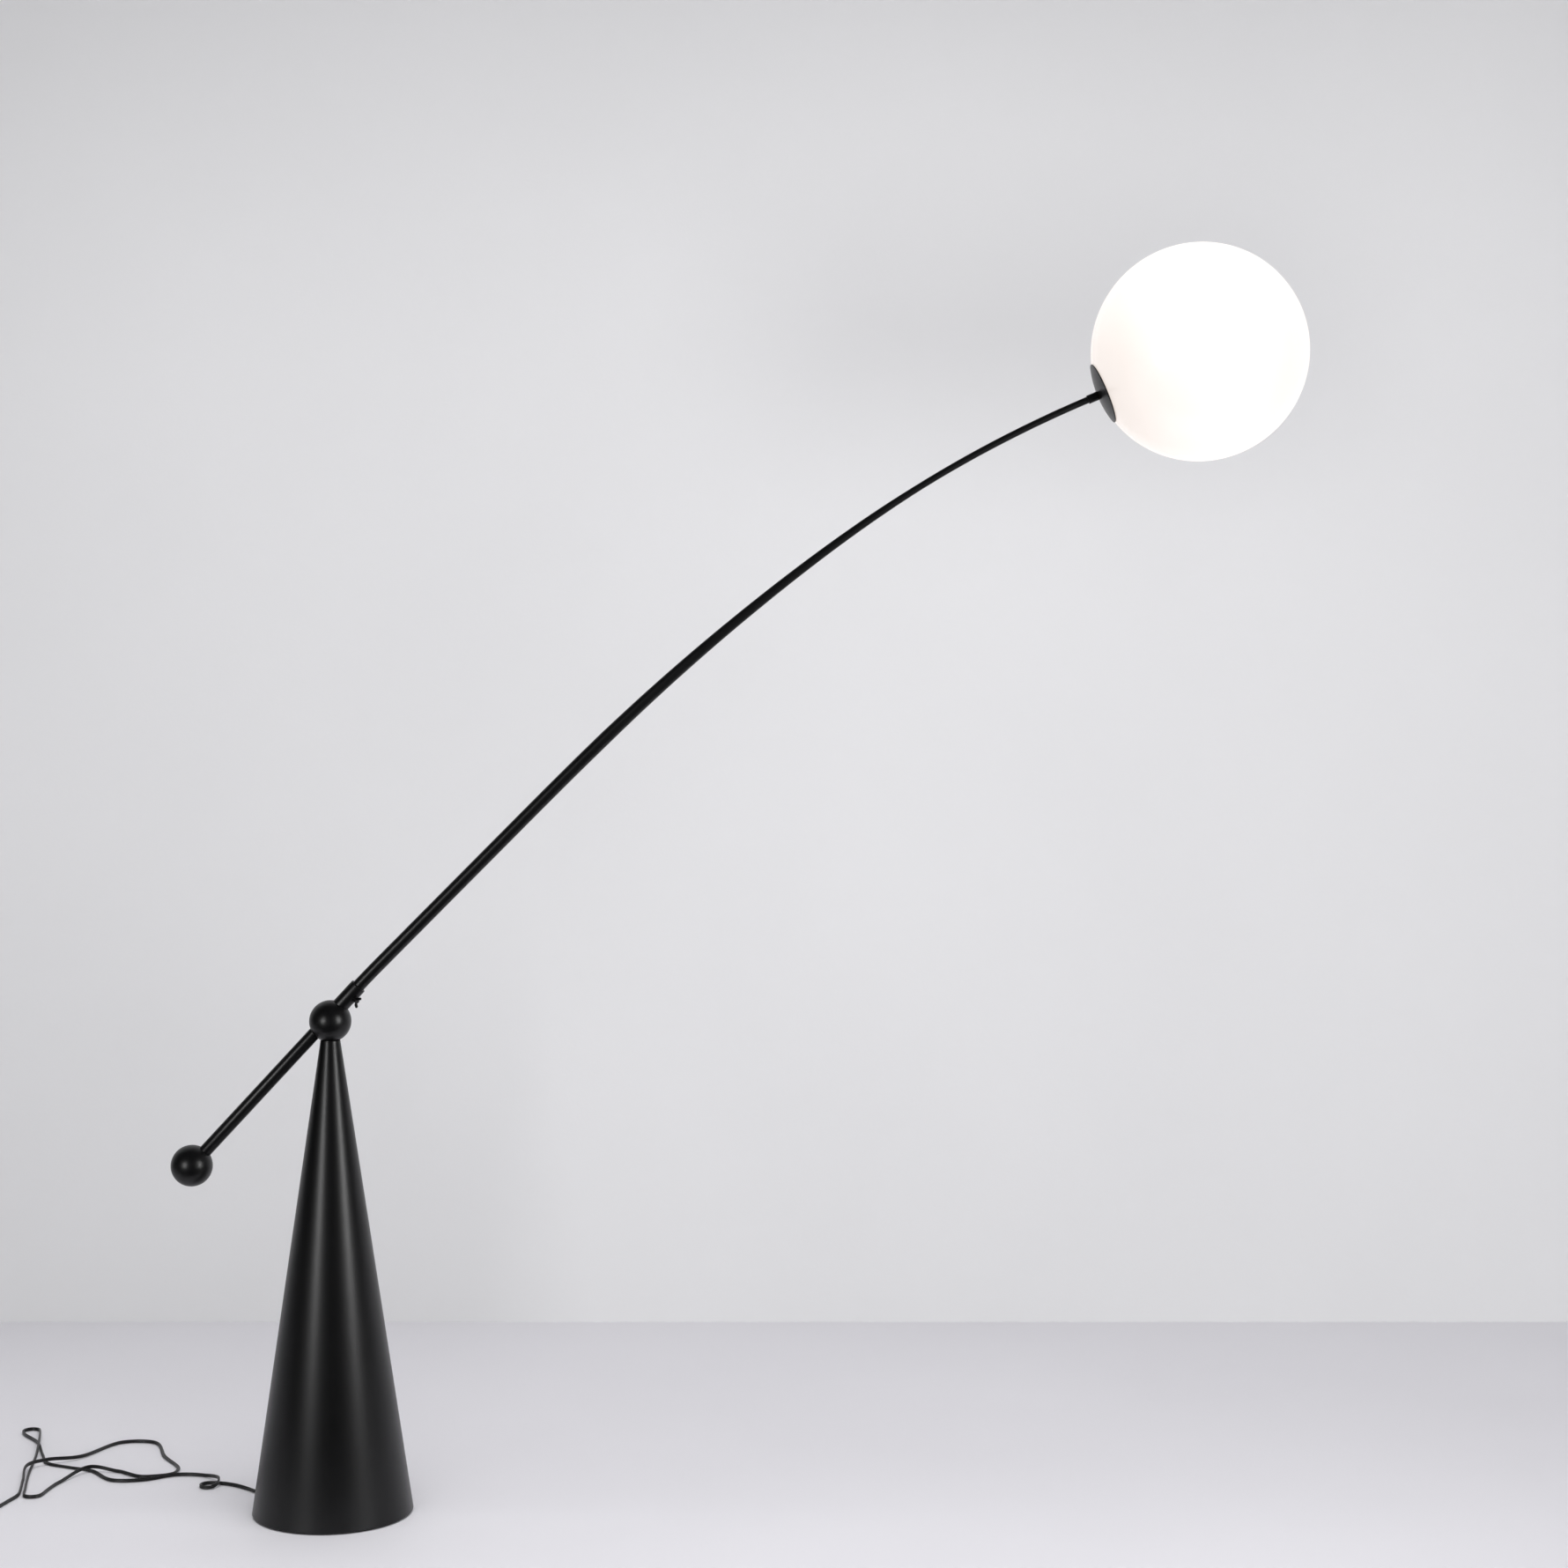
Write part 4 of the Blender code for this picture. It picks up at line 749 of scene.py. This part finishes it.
def make_cords():
    tip = OUTLET @ outlet_point(RELIEF_LENGTH + GAP)
    ahead = OUTLET @ outlet_point(RELIEF_LENGTH + 0.012)
    ahead.z = LIE + 0.0006
    along = heading(SWITCH_HEADING)
    reach = SWITCH_LENGTH / 2 + RUN + BOOT_LENGTH + GAP
    up = Vector((0.0, 0.0, TAIL_Z))
    into = [SWITCH_AT - along * (reach + 0.010) + up * 0.8, SWITCH_AT - along * reach + up]
    first = [carried(tip, 0.2), carried(ahead, 0.2)] + [carried(point) for point in ROUTE]
    first += [carried(into[0], 0.3), carried(into[1], 0.0)]
    lamp_cord, lamp_line = flat_cord("lamp_cord", first)

    start = SWITCH_AT + along * reach + up
    second = [carried(start, 0.0), carried(start + along * 0.010 - up * 0.2, 0.3)]
    second += [carried(point) for point in LEAD_IN] + coil_route()
    plug_along = heading(PLUG_HEADING)
    back = Vector((PLUG_AT.x, PLUG_AT.y, 0.0)) - plug_along * (PLUG_BACK + PLUG_BOOT + GAP)
    beside = COIL_RADIUS + HALF_WIDTH
    turns = COIL_AT - Vector((beside, 0.0, 0.0))
    clear = math.sqrt((beside + COIL_PITCH + GAP) ** 2 - beside ** 2)
    high = Vector((0.0, 0.0, LIE + CORD_WIDTH))
    leave = Vector((0.0, clear, 0.0))
    second += [carried(turns + leave * 0.55 + high, 1), carried(turns + leave * 1.6 + high * 0.75, 1),
               carried(back - plug_along * 0.016 + up * 0.8, 0.4), carried(back + up, 0.0)]
    plug_cord, plug_line = flat_cord("plug_cord", second)
    return (lamp_cord, lamp_line), (plug_cord, plug_line)


# Base

def place(piece, body, slot, *nodes):
    """Rides a piece on a body, finished as its slot says, in place of the CAD nodes it stands for."""
    piece.data.materials.append(MATERIALS[slot])
    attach(piece, body)
    if nodes:
        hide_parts(*nodes)


def make_cone():
    rim, foot = cone_radius(CONE_RIM_Z), cone_radius(CONE_FOOT_Z)
    profile = [(rim, CONE_RIM_Z, 0.0005), (foot, CONE_FOOT_Z, 0.0022),
               (foot - CONE_WALL, CONE_FOOT_Z, 0.0004), (rim - CONE_WALL, CONE_RIM_Z, 0.0005)]
    cone = lathe("cone", rounded(profile, 0.0, 6), segments=256)
    wall = cone_radius(OUTLET_Z)
    hole = lathe("outlet_cutter", rod_profile(OUTLET_HOLE, wall - 0.020, wall + 0.020),
                 OUTLET @ shift(z=OUTLET_Z) @ ALONG_X, 48)
    apply_boolean(cone, hole)
    place(cone, "base", "powder_black", "cone_shell")
    pad = rounded(rod_profile(PAD_RADIUS, 0.0, PAD_THICK), 0.0005)
    place(lathe("foot_pad", pad, segments=192), "base", "black_rubber", "floor_pad")


def make_relief():
    """The cable's tapered relief: a flange against the cone and a ribbed tail down to the floor."""
    stations = [(-0.0065, 0.0060), (-0.0034, 0.0060), (-0.0033, 0.0042), (0.0012, 0.0042),
                (0.0013, 0.0053), (0.0015, 0.0056), (0.0024, 0.0056), (0.0028, 0.0051)]
    steps = 108
    for k in range(steps + 1):
        share = k / steps
        distance = 0.0034 + (RELIEF_LENGTH - 0.0034) * share
        rib = 0.5 - 0.5 * math.cos(2 * math.pi * 8.5 * share)
        groove = 0.0007 * rib ** 2 if share < 0.9 else 0.0
        stations.append((distance, 0.0055 + (0.0034 - 0.0055) * share ** 0.85 - groove))
    points = [outlet_point(distance) for distance, _ in stations]
    relief = sweep("cable_relief", points, [radius for _, radius in stations], OUTLET, 40)
    place(relief, "base", "black_rubber", "cable_gland")


# Ball joint

def make_fork():
    """The swivel's hollow spigot and collar, with the flat tongue that carries the pivot."""
    joint_z = joint_at("arm_tilt").z
    here = shift(z=joint_z)
    low = NECK_LOW + 0.0203 - joint_z
    collar = NECK_TOP + 0.0016 - joint_z
    top = COLLAR_TOP - joint_z
    groove = GROOVE_Z - joint_z
    profile = [(0, top), (COLLAR_RADIUS, top, 0.0006), (COLLAR_RADIUS, collar, 0.0003),
               (SPIGOT_RADIUS, collar), (SPIGOT_RADIUS, groove + 0.003), (0.0055, groove + 0.003),
               (0.0055, groove - 0.003), (SPIGOT_RADIUS, groove - 0.003), (SPIGOT_RADIUS, low, 0.0005),
               (SPIGOT_BORE, low), (SPIGOT_BORE, collar - 0.0005), (0, collar - 0.0005)]
    fork = lathe("swivel_fork", rounded(profile, 0.0), here)
    rise = math.asin(TONGUE_HALF / EYE_RADIUS)
    outline = [(-TONGUE_HALF, -(top - 0.001)), (TONGUE_HALF, -(top - 0.001))]
    for step in range(65):
        angle = math.pi / 2 - rise - (2 * math.pi - 2 * rise) * step / 64
        outline.append((EYE_RADIUS * math.cos(angle), EYE_RADIUS * math.sin(angle)))
    tongue = prism("tongue", outline, TONGUE_LOW_Y, TONGUE_HIGH_Y, here @ ALONG_Y)
    apply_boolean(fork, tongue, "UNION")
    cut_all(fork,
            lathe("eye_cutter", rod_profile(PIVOT_RADIUS + GAP, -0.02, 0.02), here @ ALONG_Y, 64),
            lathe("wire_cutter", rod_profile(0.0020, -0.045, top + 0.003), here @ shift(y=0.0022), 32))
    # The fork's black finish is partly its own and partly stands in for the shade in the gap between the ball and
    # the cone.
    place(fork, "swivel", "black_steel", "swivel_yoke")


def slot_outline(down, half, reach):
    """The room that the tongue sweeps in the ball, with a straight side at each limit of the tilt."""
    points = []
    for angle, side in ((down - TILT_DOWN, -half), (down + TILT_UP, half)):
        across, along = math.cos(angle), math.sin(angle)
        edge = [(r * across - side * along, r * along + side * across) for r in (0.0, reach)]
        points += edge if side < 0 else edge[::-1]
    return points


def make_joint_ball():
    ball = lathe("ball", ball_profile(BALL_RADIUS, 72), TILT, 144)
    lean = math.atan2(joint_axis("arm_turn").z, joint_axis("arm_turn").x)
    across = TILT @ ALONG_Y
    on_axis = ARM @ ALONG_X
    offset = (joint_at("arm_turn") - joint_at("arm_tilt")).length
    hole = PIVOT_RADIUS + GAP
    bolt_room = [(0, -0.0220), (hole, -0.0220), (hole, 0.0220), (0.0070, 0.0220), (0.0070, 0.040),
                 (0, 0.040)]
    swept = slot_outline(math.pi / 2 + lean, TONGUE_HALF + 0.0006, 0.045)
    apart = 0.00001
    cut_all(ball,
            prism("slot_cutter", swept, SLOT_LOW_Y, SLOT_HIGH_Y, across),
            prism("eye_room_cutter", circle(EYE_ROOM, 72), SLOT_LOW_Y + apart, SLOT_HIGH_Y - apart, across),
            lathe("sleeve_cutter", rod_profile(SLEEVE_RADIUS + GAP, SOCKET_DEPTH, 0.05), on_axis),
            lathe("rod_cutter", rod_profile(ROD_RADIUS + GAP, -0.05, -SOCKET_DEPTH), on_axis),
            lathe("lead_cutter", rod_profile(0.0032, 0.004, 0.020),
                  TILT @ shift(y=0.0035, z=offset) @ ALONG_X, 32),
            lathe("bolt_cutter", bolt_room, across, 72))
    place(ball, "tilt_head", "powder_black", "joint_ball")


def make_pivot():
    """The pivot bolt, with a domed head and a hexagon socket, sunk in the back of the ball."""
    across = TILT @ ALONG_Y
    bolt = [(0, -0.0215), (PIVOT_RADIUS, -0.0215, 0.0005), (PIVOT_RADIUS, 0.0223),
            (0.0065, 0.0223, 0.0002), (0.0065, 0.0273, 0.0011), (0, 0.0273)]
    screw = lathe("pivot_screw", rounded(bolt, 0.0, 5), across, 72)
    apply_boolean(screw, prism("socket_cutter", circle(0.0030, 6), 0.0243, 0.030, across))
    place(screw, "tilt_head", "black_steel", "pivot_bolt")
    for name, node, slot, radius, low, high in (
            ("washer_front", "friction_washer_front", "nylon", 0.0090, -0.0091, -0.0079),
            ("washer_rear", "friction_washer_rear", "nylon", 0.0090, -0.0013, -0.0001),
            ("spacer", "pivot_spacer", "zinc_steel", 0.0060, 0.0002, 0.0067)):
        ring = rounded(tube_profile(radius, PIVOT_RADIUS + GAP, low, high), 0.0002)
        place(lathe(name, ring, across, 64), "tilt_head", slot, node)


# Rod, counterweight, sleeve and wing screw

def make_counterweight():
    end = ROD_SEAT - WEIGHT_DISTANCE
    rod = rounded(tube_profile(ROD_RADIUS, ROD_RADIUS - ROD_WALL, end, -SOCKET_DEPTH - GAP), 0.0003)
    place(lathe("rod", rod, ARM @ ALONG_X), "tilt_head", "powder_black", "lower_rod")
    centre = ARM @ shift(x=-WEIGHT_DISTANCE) @ ALONG_X
    hole, seat = ROD_RADIUS + GAP, ROD_SEAT - GAP
    room = [(0, -0.0010), (0.0053, -0.0010), (0.0053, seat), (hole, seat), (hole, 0.040), (0, 0.040)]
    ball = lathe("counterweight", ball_profile(WEIGHT_RADIUS, 72), centre, 144)
    apply_boolean(ball, lathe("seat_cutter", room, centre))
    place(ball, "tilt_head", "powder_black", "counterweight_ball")


def make_sleeve():
    tube = tube_profile(SLEEVE_RADIUS, ROD_RADIUS + GAP, SOCKET_DEPTH + GAP, SLEEVE_END)
    sleeve = lathe("sleeve", rounded(tube, 0.0006, 4), ARM @ ALONG_X)
    apply_boolean(sleeve, lathe("screw_cutter", rod_profile(SHANK_ROOM, 0.004, 0.016), WING, 32))
    place(sleeve, "tilt_head", "powder_black", "arm_sleeve")
    ring = rounded(tube_profile(0.0046, SHANK_ROOM, SLEEVE_RADIUS - 0.003, BOSS_TOP), 0.0004)
    boss = lathe("screw_boss", ring, WING, 64)
    saddle = rod_profile(SLEEVE_RADIUS + GAP, -0.015, 0.015)
    apply_boolean(boss, lathe("saddle_cutter", saddle, WING @ ALONG_X, 128))
    place(boss, "tilt_head", "powder_black", "sleeve_boss")


def make_wing_screw():
    """A threaded shank in a hub with two rounded ears."""
    tip = ROD_RADIUS + 0.0003
    root = BOSS_TOP + 0.0004
    end = root + 0.0022
    profile = [(0, tip), (0.0016, tip), (SHANK_RADIUS, tip + 0.0004)]
    pitch = 0.0005
    turns = int((end - tip - 0.0008) / pitch)
    for k in range(turns):
        z = tip + 0.0004 + pitch * k
        profile += [(SHANK_RADIUS, z + 0.0001), (0.0017, z + 0.00035)]
    profile += [(SHANK_RADIUS, end), (0, end)]
    shank = lathe("wing_shank_thread", profile, WING, 48)
    place(shank, "wing_shank", "black_steel", "wing_screw_shank")

    seat = root + 0.0025
    hub = [(SHANK_ROOM, root), (0.0038, root, 0.0004), (0.0034, root + 0.0040, 0.0012),
           (0, root + 0.0040), (0, seat), (SHANK_ROOM, seat)]
    head = lathe("wings", rounded(hub, 0.0, 4), WING, 64)
    half = WING_SPAN / 2
    side = [(0.0028, root + 0.0006), (half - 0.0022, root + 0.0024, 0.0015),
            (half, root + 0.0048, 0.0015), (half, root + 0.0074, 0.0014),
            (half - 0.0030, root + 0.0074, 0.0012), (0.0028, root + 0.0034, 0.0012)]
    outline = [(0.0, root + 0.0006)] + side + [(0.0, root + 0.0034)]
    outline += [(-point[0], *point[1:]) for point in reversed(side)]
    flat = [(x, -z) for x, z in rounded(outline, 0.0, 6)]
    across = WING @ turn(WING_SPIN, "Z") @ ALONG_Y
    ears = prism("ears", flat, -WING_THICK / 2, WING_THICK / 2, across, 0.0010)
    apply_boolean(head, ears, "UNION")
    apply_boolean(head, lathe("shank_cutter", rod_profile(SHANK_ROOM, 0.004, seat), WING, 48))
    place(head, "wing_head", "powder_black", "wing_screw_wings")


# Bent arm

def bend_at(distance):
    """Turn per metre of the arm at a distance past the sleeve."""
    for (start, low), (end, high) in zip(BENDS, BENDS[1:]):
        if distance <= end:
            return low + (high - low) * (distance - start) / (end - start)
    return BENDS[-1][1]


def arm_radius(distance):
    share = min(1.0, max(0.0, (distance - TAPER_START) / (TAPER_END - TAPER_START)))
    return ROD_RADIUS + (ARM_END_RADIUS - ROD_RADIUS) * share


def arm_line(spacing=0.0085, steps=5):
    """(distance, point) at stations along the arm, by stepping along its curve."""
    stations = [(ARM_START - SLEEVE_END, Vector((ARM_START, 0, 0))), (0.0, Vector((SLEEVE_END, 0, 0)))]
    count = round(ARM_LENGTH / spacing)
    step = ARM_LENGTH / count / steps
    spot = Vector((SLEEVE_END, 0, 0))
    angle = 0.0
    for k in range(count * steps):
        angle -= bend_at((k + 0.5) * step) * step
        spot = spot + Vector((math.cos(angle), 0, math.sin(angle))) * step
        if (k + 1) % steps == 0:
            stations.append(((k + 1) * step, spot.copy()))
    return stations


def make_arm():
    line = arm_line()
    outer = [arm_radius(distance) for distance, _ in line]
    arm = sweep("arm_bow", [point for _, point in line], outer, ARM, 48,
                [radius - ARM_WALL for radius in outer])
    place(arm, "arm", "powder_black", "arm_tube")


# Dish and globe, turned about the globe's axis

def make_dish():
    on_axis = HEAD @ ALONG_X
    back = -GLOBE_FROM_ARM + GAP
    front = -DISH_RADIUS - GAP
    collar = [(0.0036, back), (0.0061, back, 0.0007), (0.0061, front, 0.0004), (0.0053, front),
              (0.0053, back + 0.0028), (0.0036, back + 0.0028)]
    place(lathe("collar", rounded(collar, 0.0, 5), on_axis), "arm", "powder_black", "dish_collar")
    inner = DISH_RADIUS - DISH_THICK
    outside = ball_profile(DISH_RADIUS, 24, math.asin(0.0053 / DISH_RADIUS), DISH_HALF_ANGLE)
    inside = ball_profile(inner, 24, DISH_HALF_ANGLE, math.asin(0.0053 / inner))
    middle = DISH_RADIUS - DISH_THICK / 2
    rim = []
    for k in range(1, 6):
        swing = math.pi * k / 6
        out = DISH_THICK / 2 * math.cos(swing)
        on = DISH_HALF_ANGLE + DISH_THICK / 2 * math.sin(swing) / middle * 0.6
        rim.append(((middle + out) * math.sin(on), (middle + out) * math.cos(on)))
    profile = [(r, -z) for r, z in outside + rim + inside]
    place(lathe("dish_cup", profile, on_axis, 192), "arm", "powder_black", "dish")


def make_globe():
    on_axis = HEAD @ ALONG_X
    edge = math.acos(-MOUTH_X / GLOBE_RADIUS)
    outer = ball_profile(GLOBE_RADIUS, 96, math.pi - edge, 0.0)
    inside = GLOBE_RADIUS - GLOBE_WALL
    neck, mouth = THREAD_RADIUS + 0.0028, THREAD_RADIUS + 0.0020
    inner = ball_profile(inside, 64, 0.0, math.pi - math.asin(neck / inside))
    lip = [(neck, LIP_END), (THREAD_RADIUS, LIP_END, 0.0005), (THREAD_RADIUS, -0.1420),
           (mouth, -0.1420), (mouth, MOUTH_X)]
    globe = lathe("opal_globe", outer + inner + rounded(lip, 0.0, 3, False), on_axis, 192)
    place(globe, "globe_glass", "opal_glass", "globe")
    ring = rounded(tube_profile(THREAD_RADIUS + 0.0017, 0.0359, -0.1444, -0.1423), 0.0003)
    place(lathe("gasket", ring, on_axis, 160), "globe_seal", "black_rubber", "globe_gasket")


# Foot switch, plug and the coil's tie

def ribbed_boot(name, matrix, height, end, reach, root, ribs):
    """A tapered boot along local X, from a housing's end down to the floor."""
    count = 72
    tip = 0.0034
    points = []
    radii = []
    for k in range(count + 1):
        share = k / count
        drop = (3 * share ** 2 - 2 * share ** 3) * (height - TAIL_Z)
        points.append(Vector((end + reach * share, 0.0, height - drop)))
        rib = 0.5 - 0.5 * math.cos(2 * math.pi * (ribs + 0.5) * share)
        groove = 0.0006 * rib ** 2 if 0.06 < share < 0.88 else 0.0
        radii.append(root + (tip - root) * share - groove)
    return sweep(name, points, radii, matrix, 36)


def make_switch():
    """An inline foot switch: two halves, a round press button and a boot at each end."""
    wall = 0.0022
    corner = 0.013
    outline = rounded_rectangle(SWITCH_LENGTH, SWITCH_WIDTH, corner, 14)
    hollow = rounded_rectangle(SWITCH_LENGTH - 2 * wall, SWITCH_WIDTH - 2 * wall, corner - wall, 10)
    lower = prism("switch_base", outline, 0.0, SWITCH_SPLIT, SWITCH, 0.0012, 4)
    apply_boolean(lower, prism("lower_cutter", hollow, wall, 0.03, SWITCH))
    place(lower, "base", "black_plastic", "switch_lower")
    upper = prism("switch_cover", outline, SWITCH_SPLIT + GAP, SWITCH_TOP, SWITCH, 0.0018, 5)
    deep, above = SWITCH_TOP - 0.0006, SWITCH_TOP + 0.001
    ring = [(BUTTON_RADIUS + 0.0012, deep), (BUTTON_RADIUS + 0.0026, deep),
            (BUTTON_RADIUS + 0.0030, above), (BUTTON_RADIUS + 0.0008, above)]
    cut_all(upper, prism("upper_cutter", hollow, -0.01, SWITCH_TOP - wall, SWITCH),
            prism("button_hole_cutter", circle(BUTTON_RADIUS + RUN, 72), 0.0, 0.04, SWITCH),
            lathe("ring_cutter", ring, SWITCH, 72))
    groove = rounded_rectangle(0.0010, 0.020, 0.0005, 4)
    for k in range(5):
        for side in (1, -1):
            spot = SWITCH @ shift(x=side * (0.0195 + 0.0028 * k))
            apply_boolean(upper, prism("grip_cutter", groove, SWITCH_TOP - 0.0005, above, spot))
    place(upper, "base", "black_plastic", "switch_upper")
    flange = SWITCH_TOP - wall - 0.0005
    dip = BUTTON_TOP - 0.0006
    profile = [(0, 0.0163), (BUTTON_RADIUS + 0.0015, 0.0163), (BUTTON_RADIUS + 0.0015, flange),
               (BUTTON_RADIUS, flange), (BUTTON_RADIUS, BUTTON_TOP, 0.0015), (0.0088, BUTTON_TOP, 0.0004),
               (0.0084, dip, 0.0003), (0.0064, dip, 0.0003), (0.0060, BUTTON_TOP, 0.0004),
               (0, BUTTON_TOP + 0.0004)]
    button = lathe("foot_button_cap", rounded(profile, 0.0, 5), SWITCH)
    place(button, "foot_button", "black_plastic", "switch_button")
    for name, angle in (("boot_in", math.pi), ("boot_out", 0.0)):
        boot = ribbed_boot(name, SWITCH @ turn(angle, "Z"), BOOT_Z, SWITCH_LENGTH / 2 + RUN, BOOT_LENGTH,
                           0.0050, 5)
        place(boot, "base", "black_rubber", "switch_" + name)
    return ["switch_base", "switch_cover", "foot_button_cap", "switch_mechanism", "boot_in"], ["boot_out"]


def make_plug():
    """A flat two-pin plug: a tapered body, sleeved pins and a boot."""
    side = [(0.0180, 0.0130, 0.0012), (0.0040, 0.0130, 0.006),
            (-0.0120, 0.0100, 0.006), (-0.0170, 0.0050, 0.003)]
    outline = side + [(x, -y, radius) for x, y, radius in reversed(side)]
    half = 0.0068
    body = prism("plug_shell", rounded(outline, 0.0, 8), -half, half, PLUG, 0.0024, 5)
    for k in range(4):
        groove = rounded_rectangle(0.0011, 0.015 - 0.0012 * k, 0.0005, 4)
        for level in (-0.0072, 0.0062):
            spot = PLUG @ shift(x=0.0035 - 0.0032 * k)
            apply_boolean(body, prism("grip_cutter", groove, level, level + 0.0010, spot))
    place(body, "base", "black_plastic", "plug_body")
    names = ["plug_shell"]
    pin = [(0, 0.0183), (0.0018, 0.0183), (0.0018, 0.0285), (0.0020, 0.0287), (0.0020, 0.0373, 0.0016),
           (0, 0.0373)]
    sleeve = tube_profile(0.0020, 0.00185, 0.0184, 0.0284)
    for name, y in (("pin_left", 0.0093), ("pin_right", -0.0093)):
        along = PLUG @ shift(y=y) @ ALONG_X
        place(lathe(name, rounded(pin, 0.0, 6), along, 48), "base", "brass", "plug_" + name)
        place(lathe(name + "_sleeve", sleeve, along, 48), "base", "black_plastic")
        names += [name, name + "_sleeve"]
    boot = ribbed_boot("plug_relief", PLUG @ turn(math.pi, "Z"), PLUG_AT.z, PLUG_BACK, PLUG_BOOT, 0.0048, 4)
    boot.data.transform(shift(z=-PLUG_AT.z))
    place(boot, "base", "black_rubber", "plug_boot")
    return names + ["plug_relief"]


def make_tie():
    """A narrow strap round the coil's four strands."""
    half = COIL_PITCH / 2 + HALF_WIDTH + 0.0001
    low, high = 0.0001, LIE + COIL_LIFT + COIL_PITCH + HALF_WIDTH + 0.0003
    middle = (low + high) / 2
    width, height, corner = 2 * half + 0.0006, high - low, 0.0026
    outside = rounded_rectangle(width, height, corner, 8)
    inside = rounded_rectangle(width - 2 * STRAP, height - 2 * STRAP, corner - STRAP, 8)
    rings = []
    for outline, y in ((outside, -0.004), (outside, 0.004), (inside, 0.004), (inside, -0.004)):
        rings.append([Vector((COIL_RADIUS + x, y, middle + z)) for x, z in outline])
    tie = skin_rings("coil_tie", rings, Matrix.Translation(COIL_AT) @ turn(math.radians(20), "Z"), False)
    place(tie, "base", "black_plastic")
    return tie.name


# Floor, wall and light

def pale_surface(name, dark, light, roughness, grain, depth, see_through=False):
    mat, tree, shader = new_material(name, light, roughness)
    coords = place_texture(tree)
    broad = noise(tree, coords, 0.9, 3.0)
    fine = noise(tree, coords, grain, 5.0, 0.6)
    tree.links.new(two_colors(tree, broad, dark, light), shader.inputs["Base Color"])
    tree.links.new(spread(tree, fine, roughness - 0.05, roughness + 0.05), shader.inputs["Roughness"])
    shader.inputs["Specular IOR Level"].default_value = 0.25
    bump(tree, shader, fine, depth, 0.4)
    if see_through:
        clear = tree.nodes.new("ShaderNodeBsdfTransparent")
        mix = tree.nodes.new("ShaderNodeMixShader")
        side = tree.nodes.new("ShaderNodeNewGeometry")
        tree.links.new(side.outputs["Backfacing"], mix.inputs["Fac"])
        tree.links.new(shader.outputs["BSDF"], mix.inputs[1])
        tree.links.new(clear.outputs["BSDF"], mix.inputs[2])
        output = next(node for node in tree.nodes if node.type == "OUTPUT_MATERIAL")
        tree.links.new(mix.outputs["Shader"], output.inputs["Surface"])
    return mat


def plane(name, near, far, mat):
    """A strip as wide as the stage between two edges, each given as its y and z."""
    reach = STAGE_REACH
    corners = ((-reach, *near), (reach, *near), (reach, *far), (-reach, *far))
    bm = bmesh.new()
    bm.faces.new([bm.verts.new(corner) for corner in corners])
    mesh = bpy.data.meshes.new(name)
    bm.to_mesh(mesh)
    bm.free()
    mesh.materials.append(mat)
    strip = add_object(name, mesh)
    return strip


def make_stage():
    floor = pale_surface("floor_white", FLOOR_DARK, FLOOR_LIGHT, 0.6, 0.004, 0.0002)
    wall = pale_surface("wall_white", WALL_DARK, WALL_LIGHT, 0.7, 0.006, 0.0003, True)
    plane("floor", (FLOOR_SPLIT_Y, FLOOR_Z), (WALL_Y, FLOOR_Z), floor)
    front = plane("floor_front", (-STAGE_REACH, FLOOR_Z), (FLOOR_SPLIT_Y, FLOOR_Z), floor)
    front.visible_glossy = False
    plane("wall", (WALL_Y, FLOOR_Z), (WALL_Y, WALL_TOP), wall)


def make_world():
    """A room that adds little light of its own, and is pale where nothing stands before it."""
    world = bpy.data.worlds.new("room")
    world.use_nodes = True
    tree = world.node_tree
    rays = tree.nodes.new("ShaderNodeLightPath")
    mix = tree.nodes.new("ShaderNodeMixShader")
    tree.links.new(rays.outputs["Is Camera Ray"], mix.inputs["Fac"])
    dim, pale = tree.nodes["Background"], tree.nodes.new("ShaderNodeBackground")
    for socket, node, strength in ((1, dim, ROOM_STRENGTH), (2, pale, BACKDROP_STRENGTH)):
        node.inputs["Color"].default_value = (*ROOM_COLOR, 1.0)
        node.inputs["Strength"].default_value = strength
        tree.links.new(node.outputs["Background"], mix.inputs[socket])
    tree.links.new(mix.outputs["Shader"], tree.nodes["World Output"].inputs["Surface"])
    bpy.context.scene.world = world


# The lamp

def finish_nodes():
    """Gives every CAD node the finish of its slot."""
    for part in frame["record"]["subparts"]:
        node = frame["nodes"][part["node"]]
        for k in range(len(node.material_slots)):
            node.material_slots[k].material = MATERIALS[part["material_slot"]]


def main():
    bpy.context.scene.view_settings.view_transform = "Standard"
    add_camera()
    finish_nodes()
    (lamp_cord, lamp_line), (plug_cord, plug_line) = make_cords()
    make_cone()
    make_relief()
    make_fork()
    make_joint_ball()
    make_pivot()
    make_counterweight()
    make_sleeve()
    make_wing_screw()
    make_arm()
    make_dish()
    make_globe()
    on_lamp_cord, on_plug_cord = make_switch()
    on_plug_cord += make_plug()
    on_plug_cord.append(make_tie())
    place(lamp_cord, "base", "black_pvc", "cord_run")
    place(plug_cord, "base", "black_pvc", "cord_lead_in", "cord_coil", "cord_tail")
    make_stage()
    make_world()
    for light in LIGHTS:
        area_light(*light)


main()
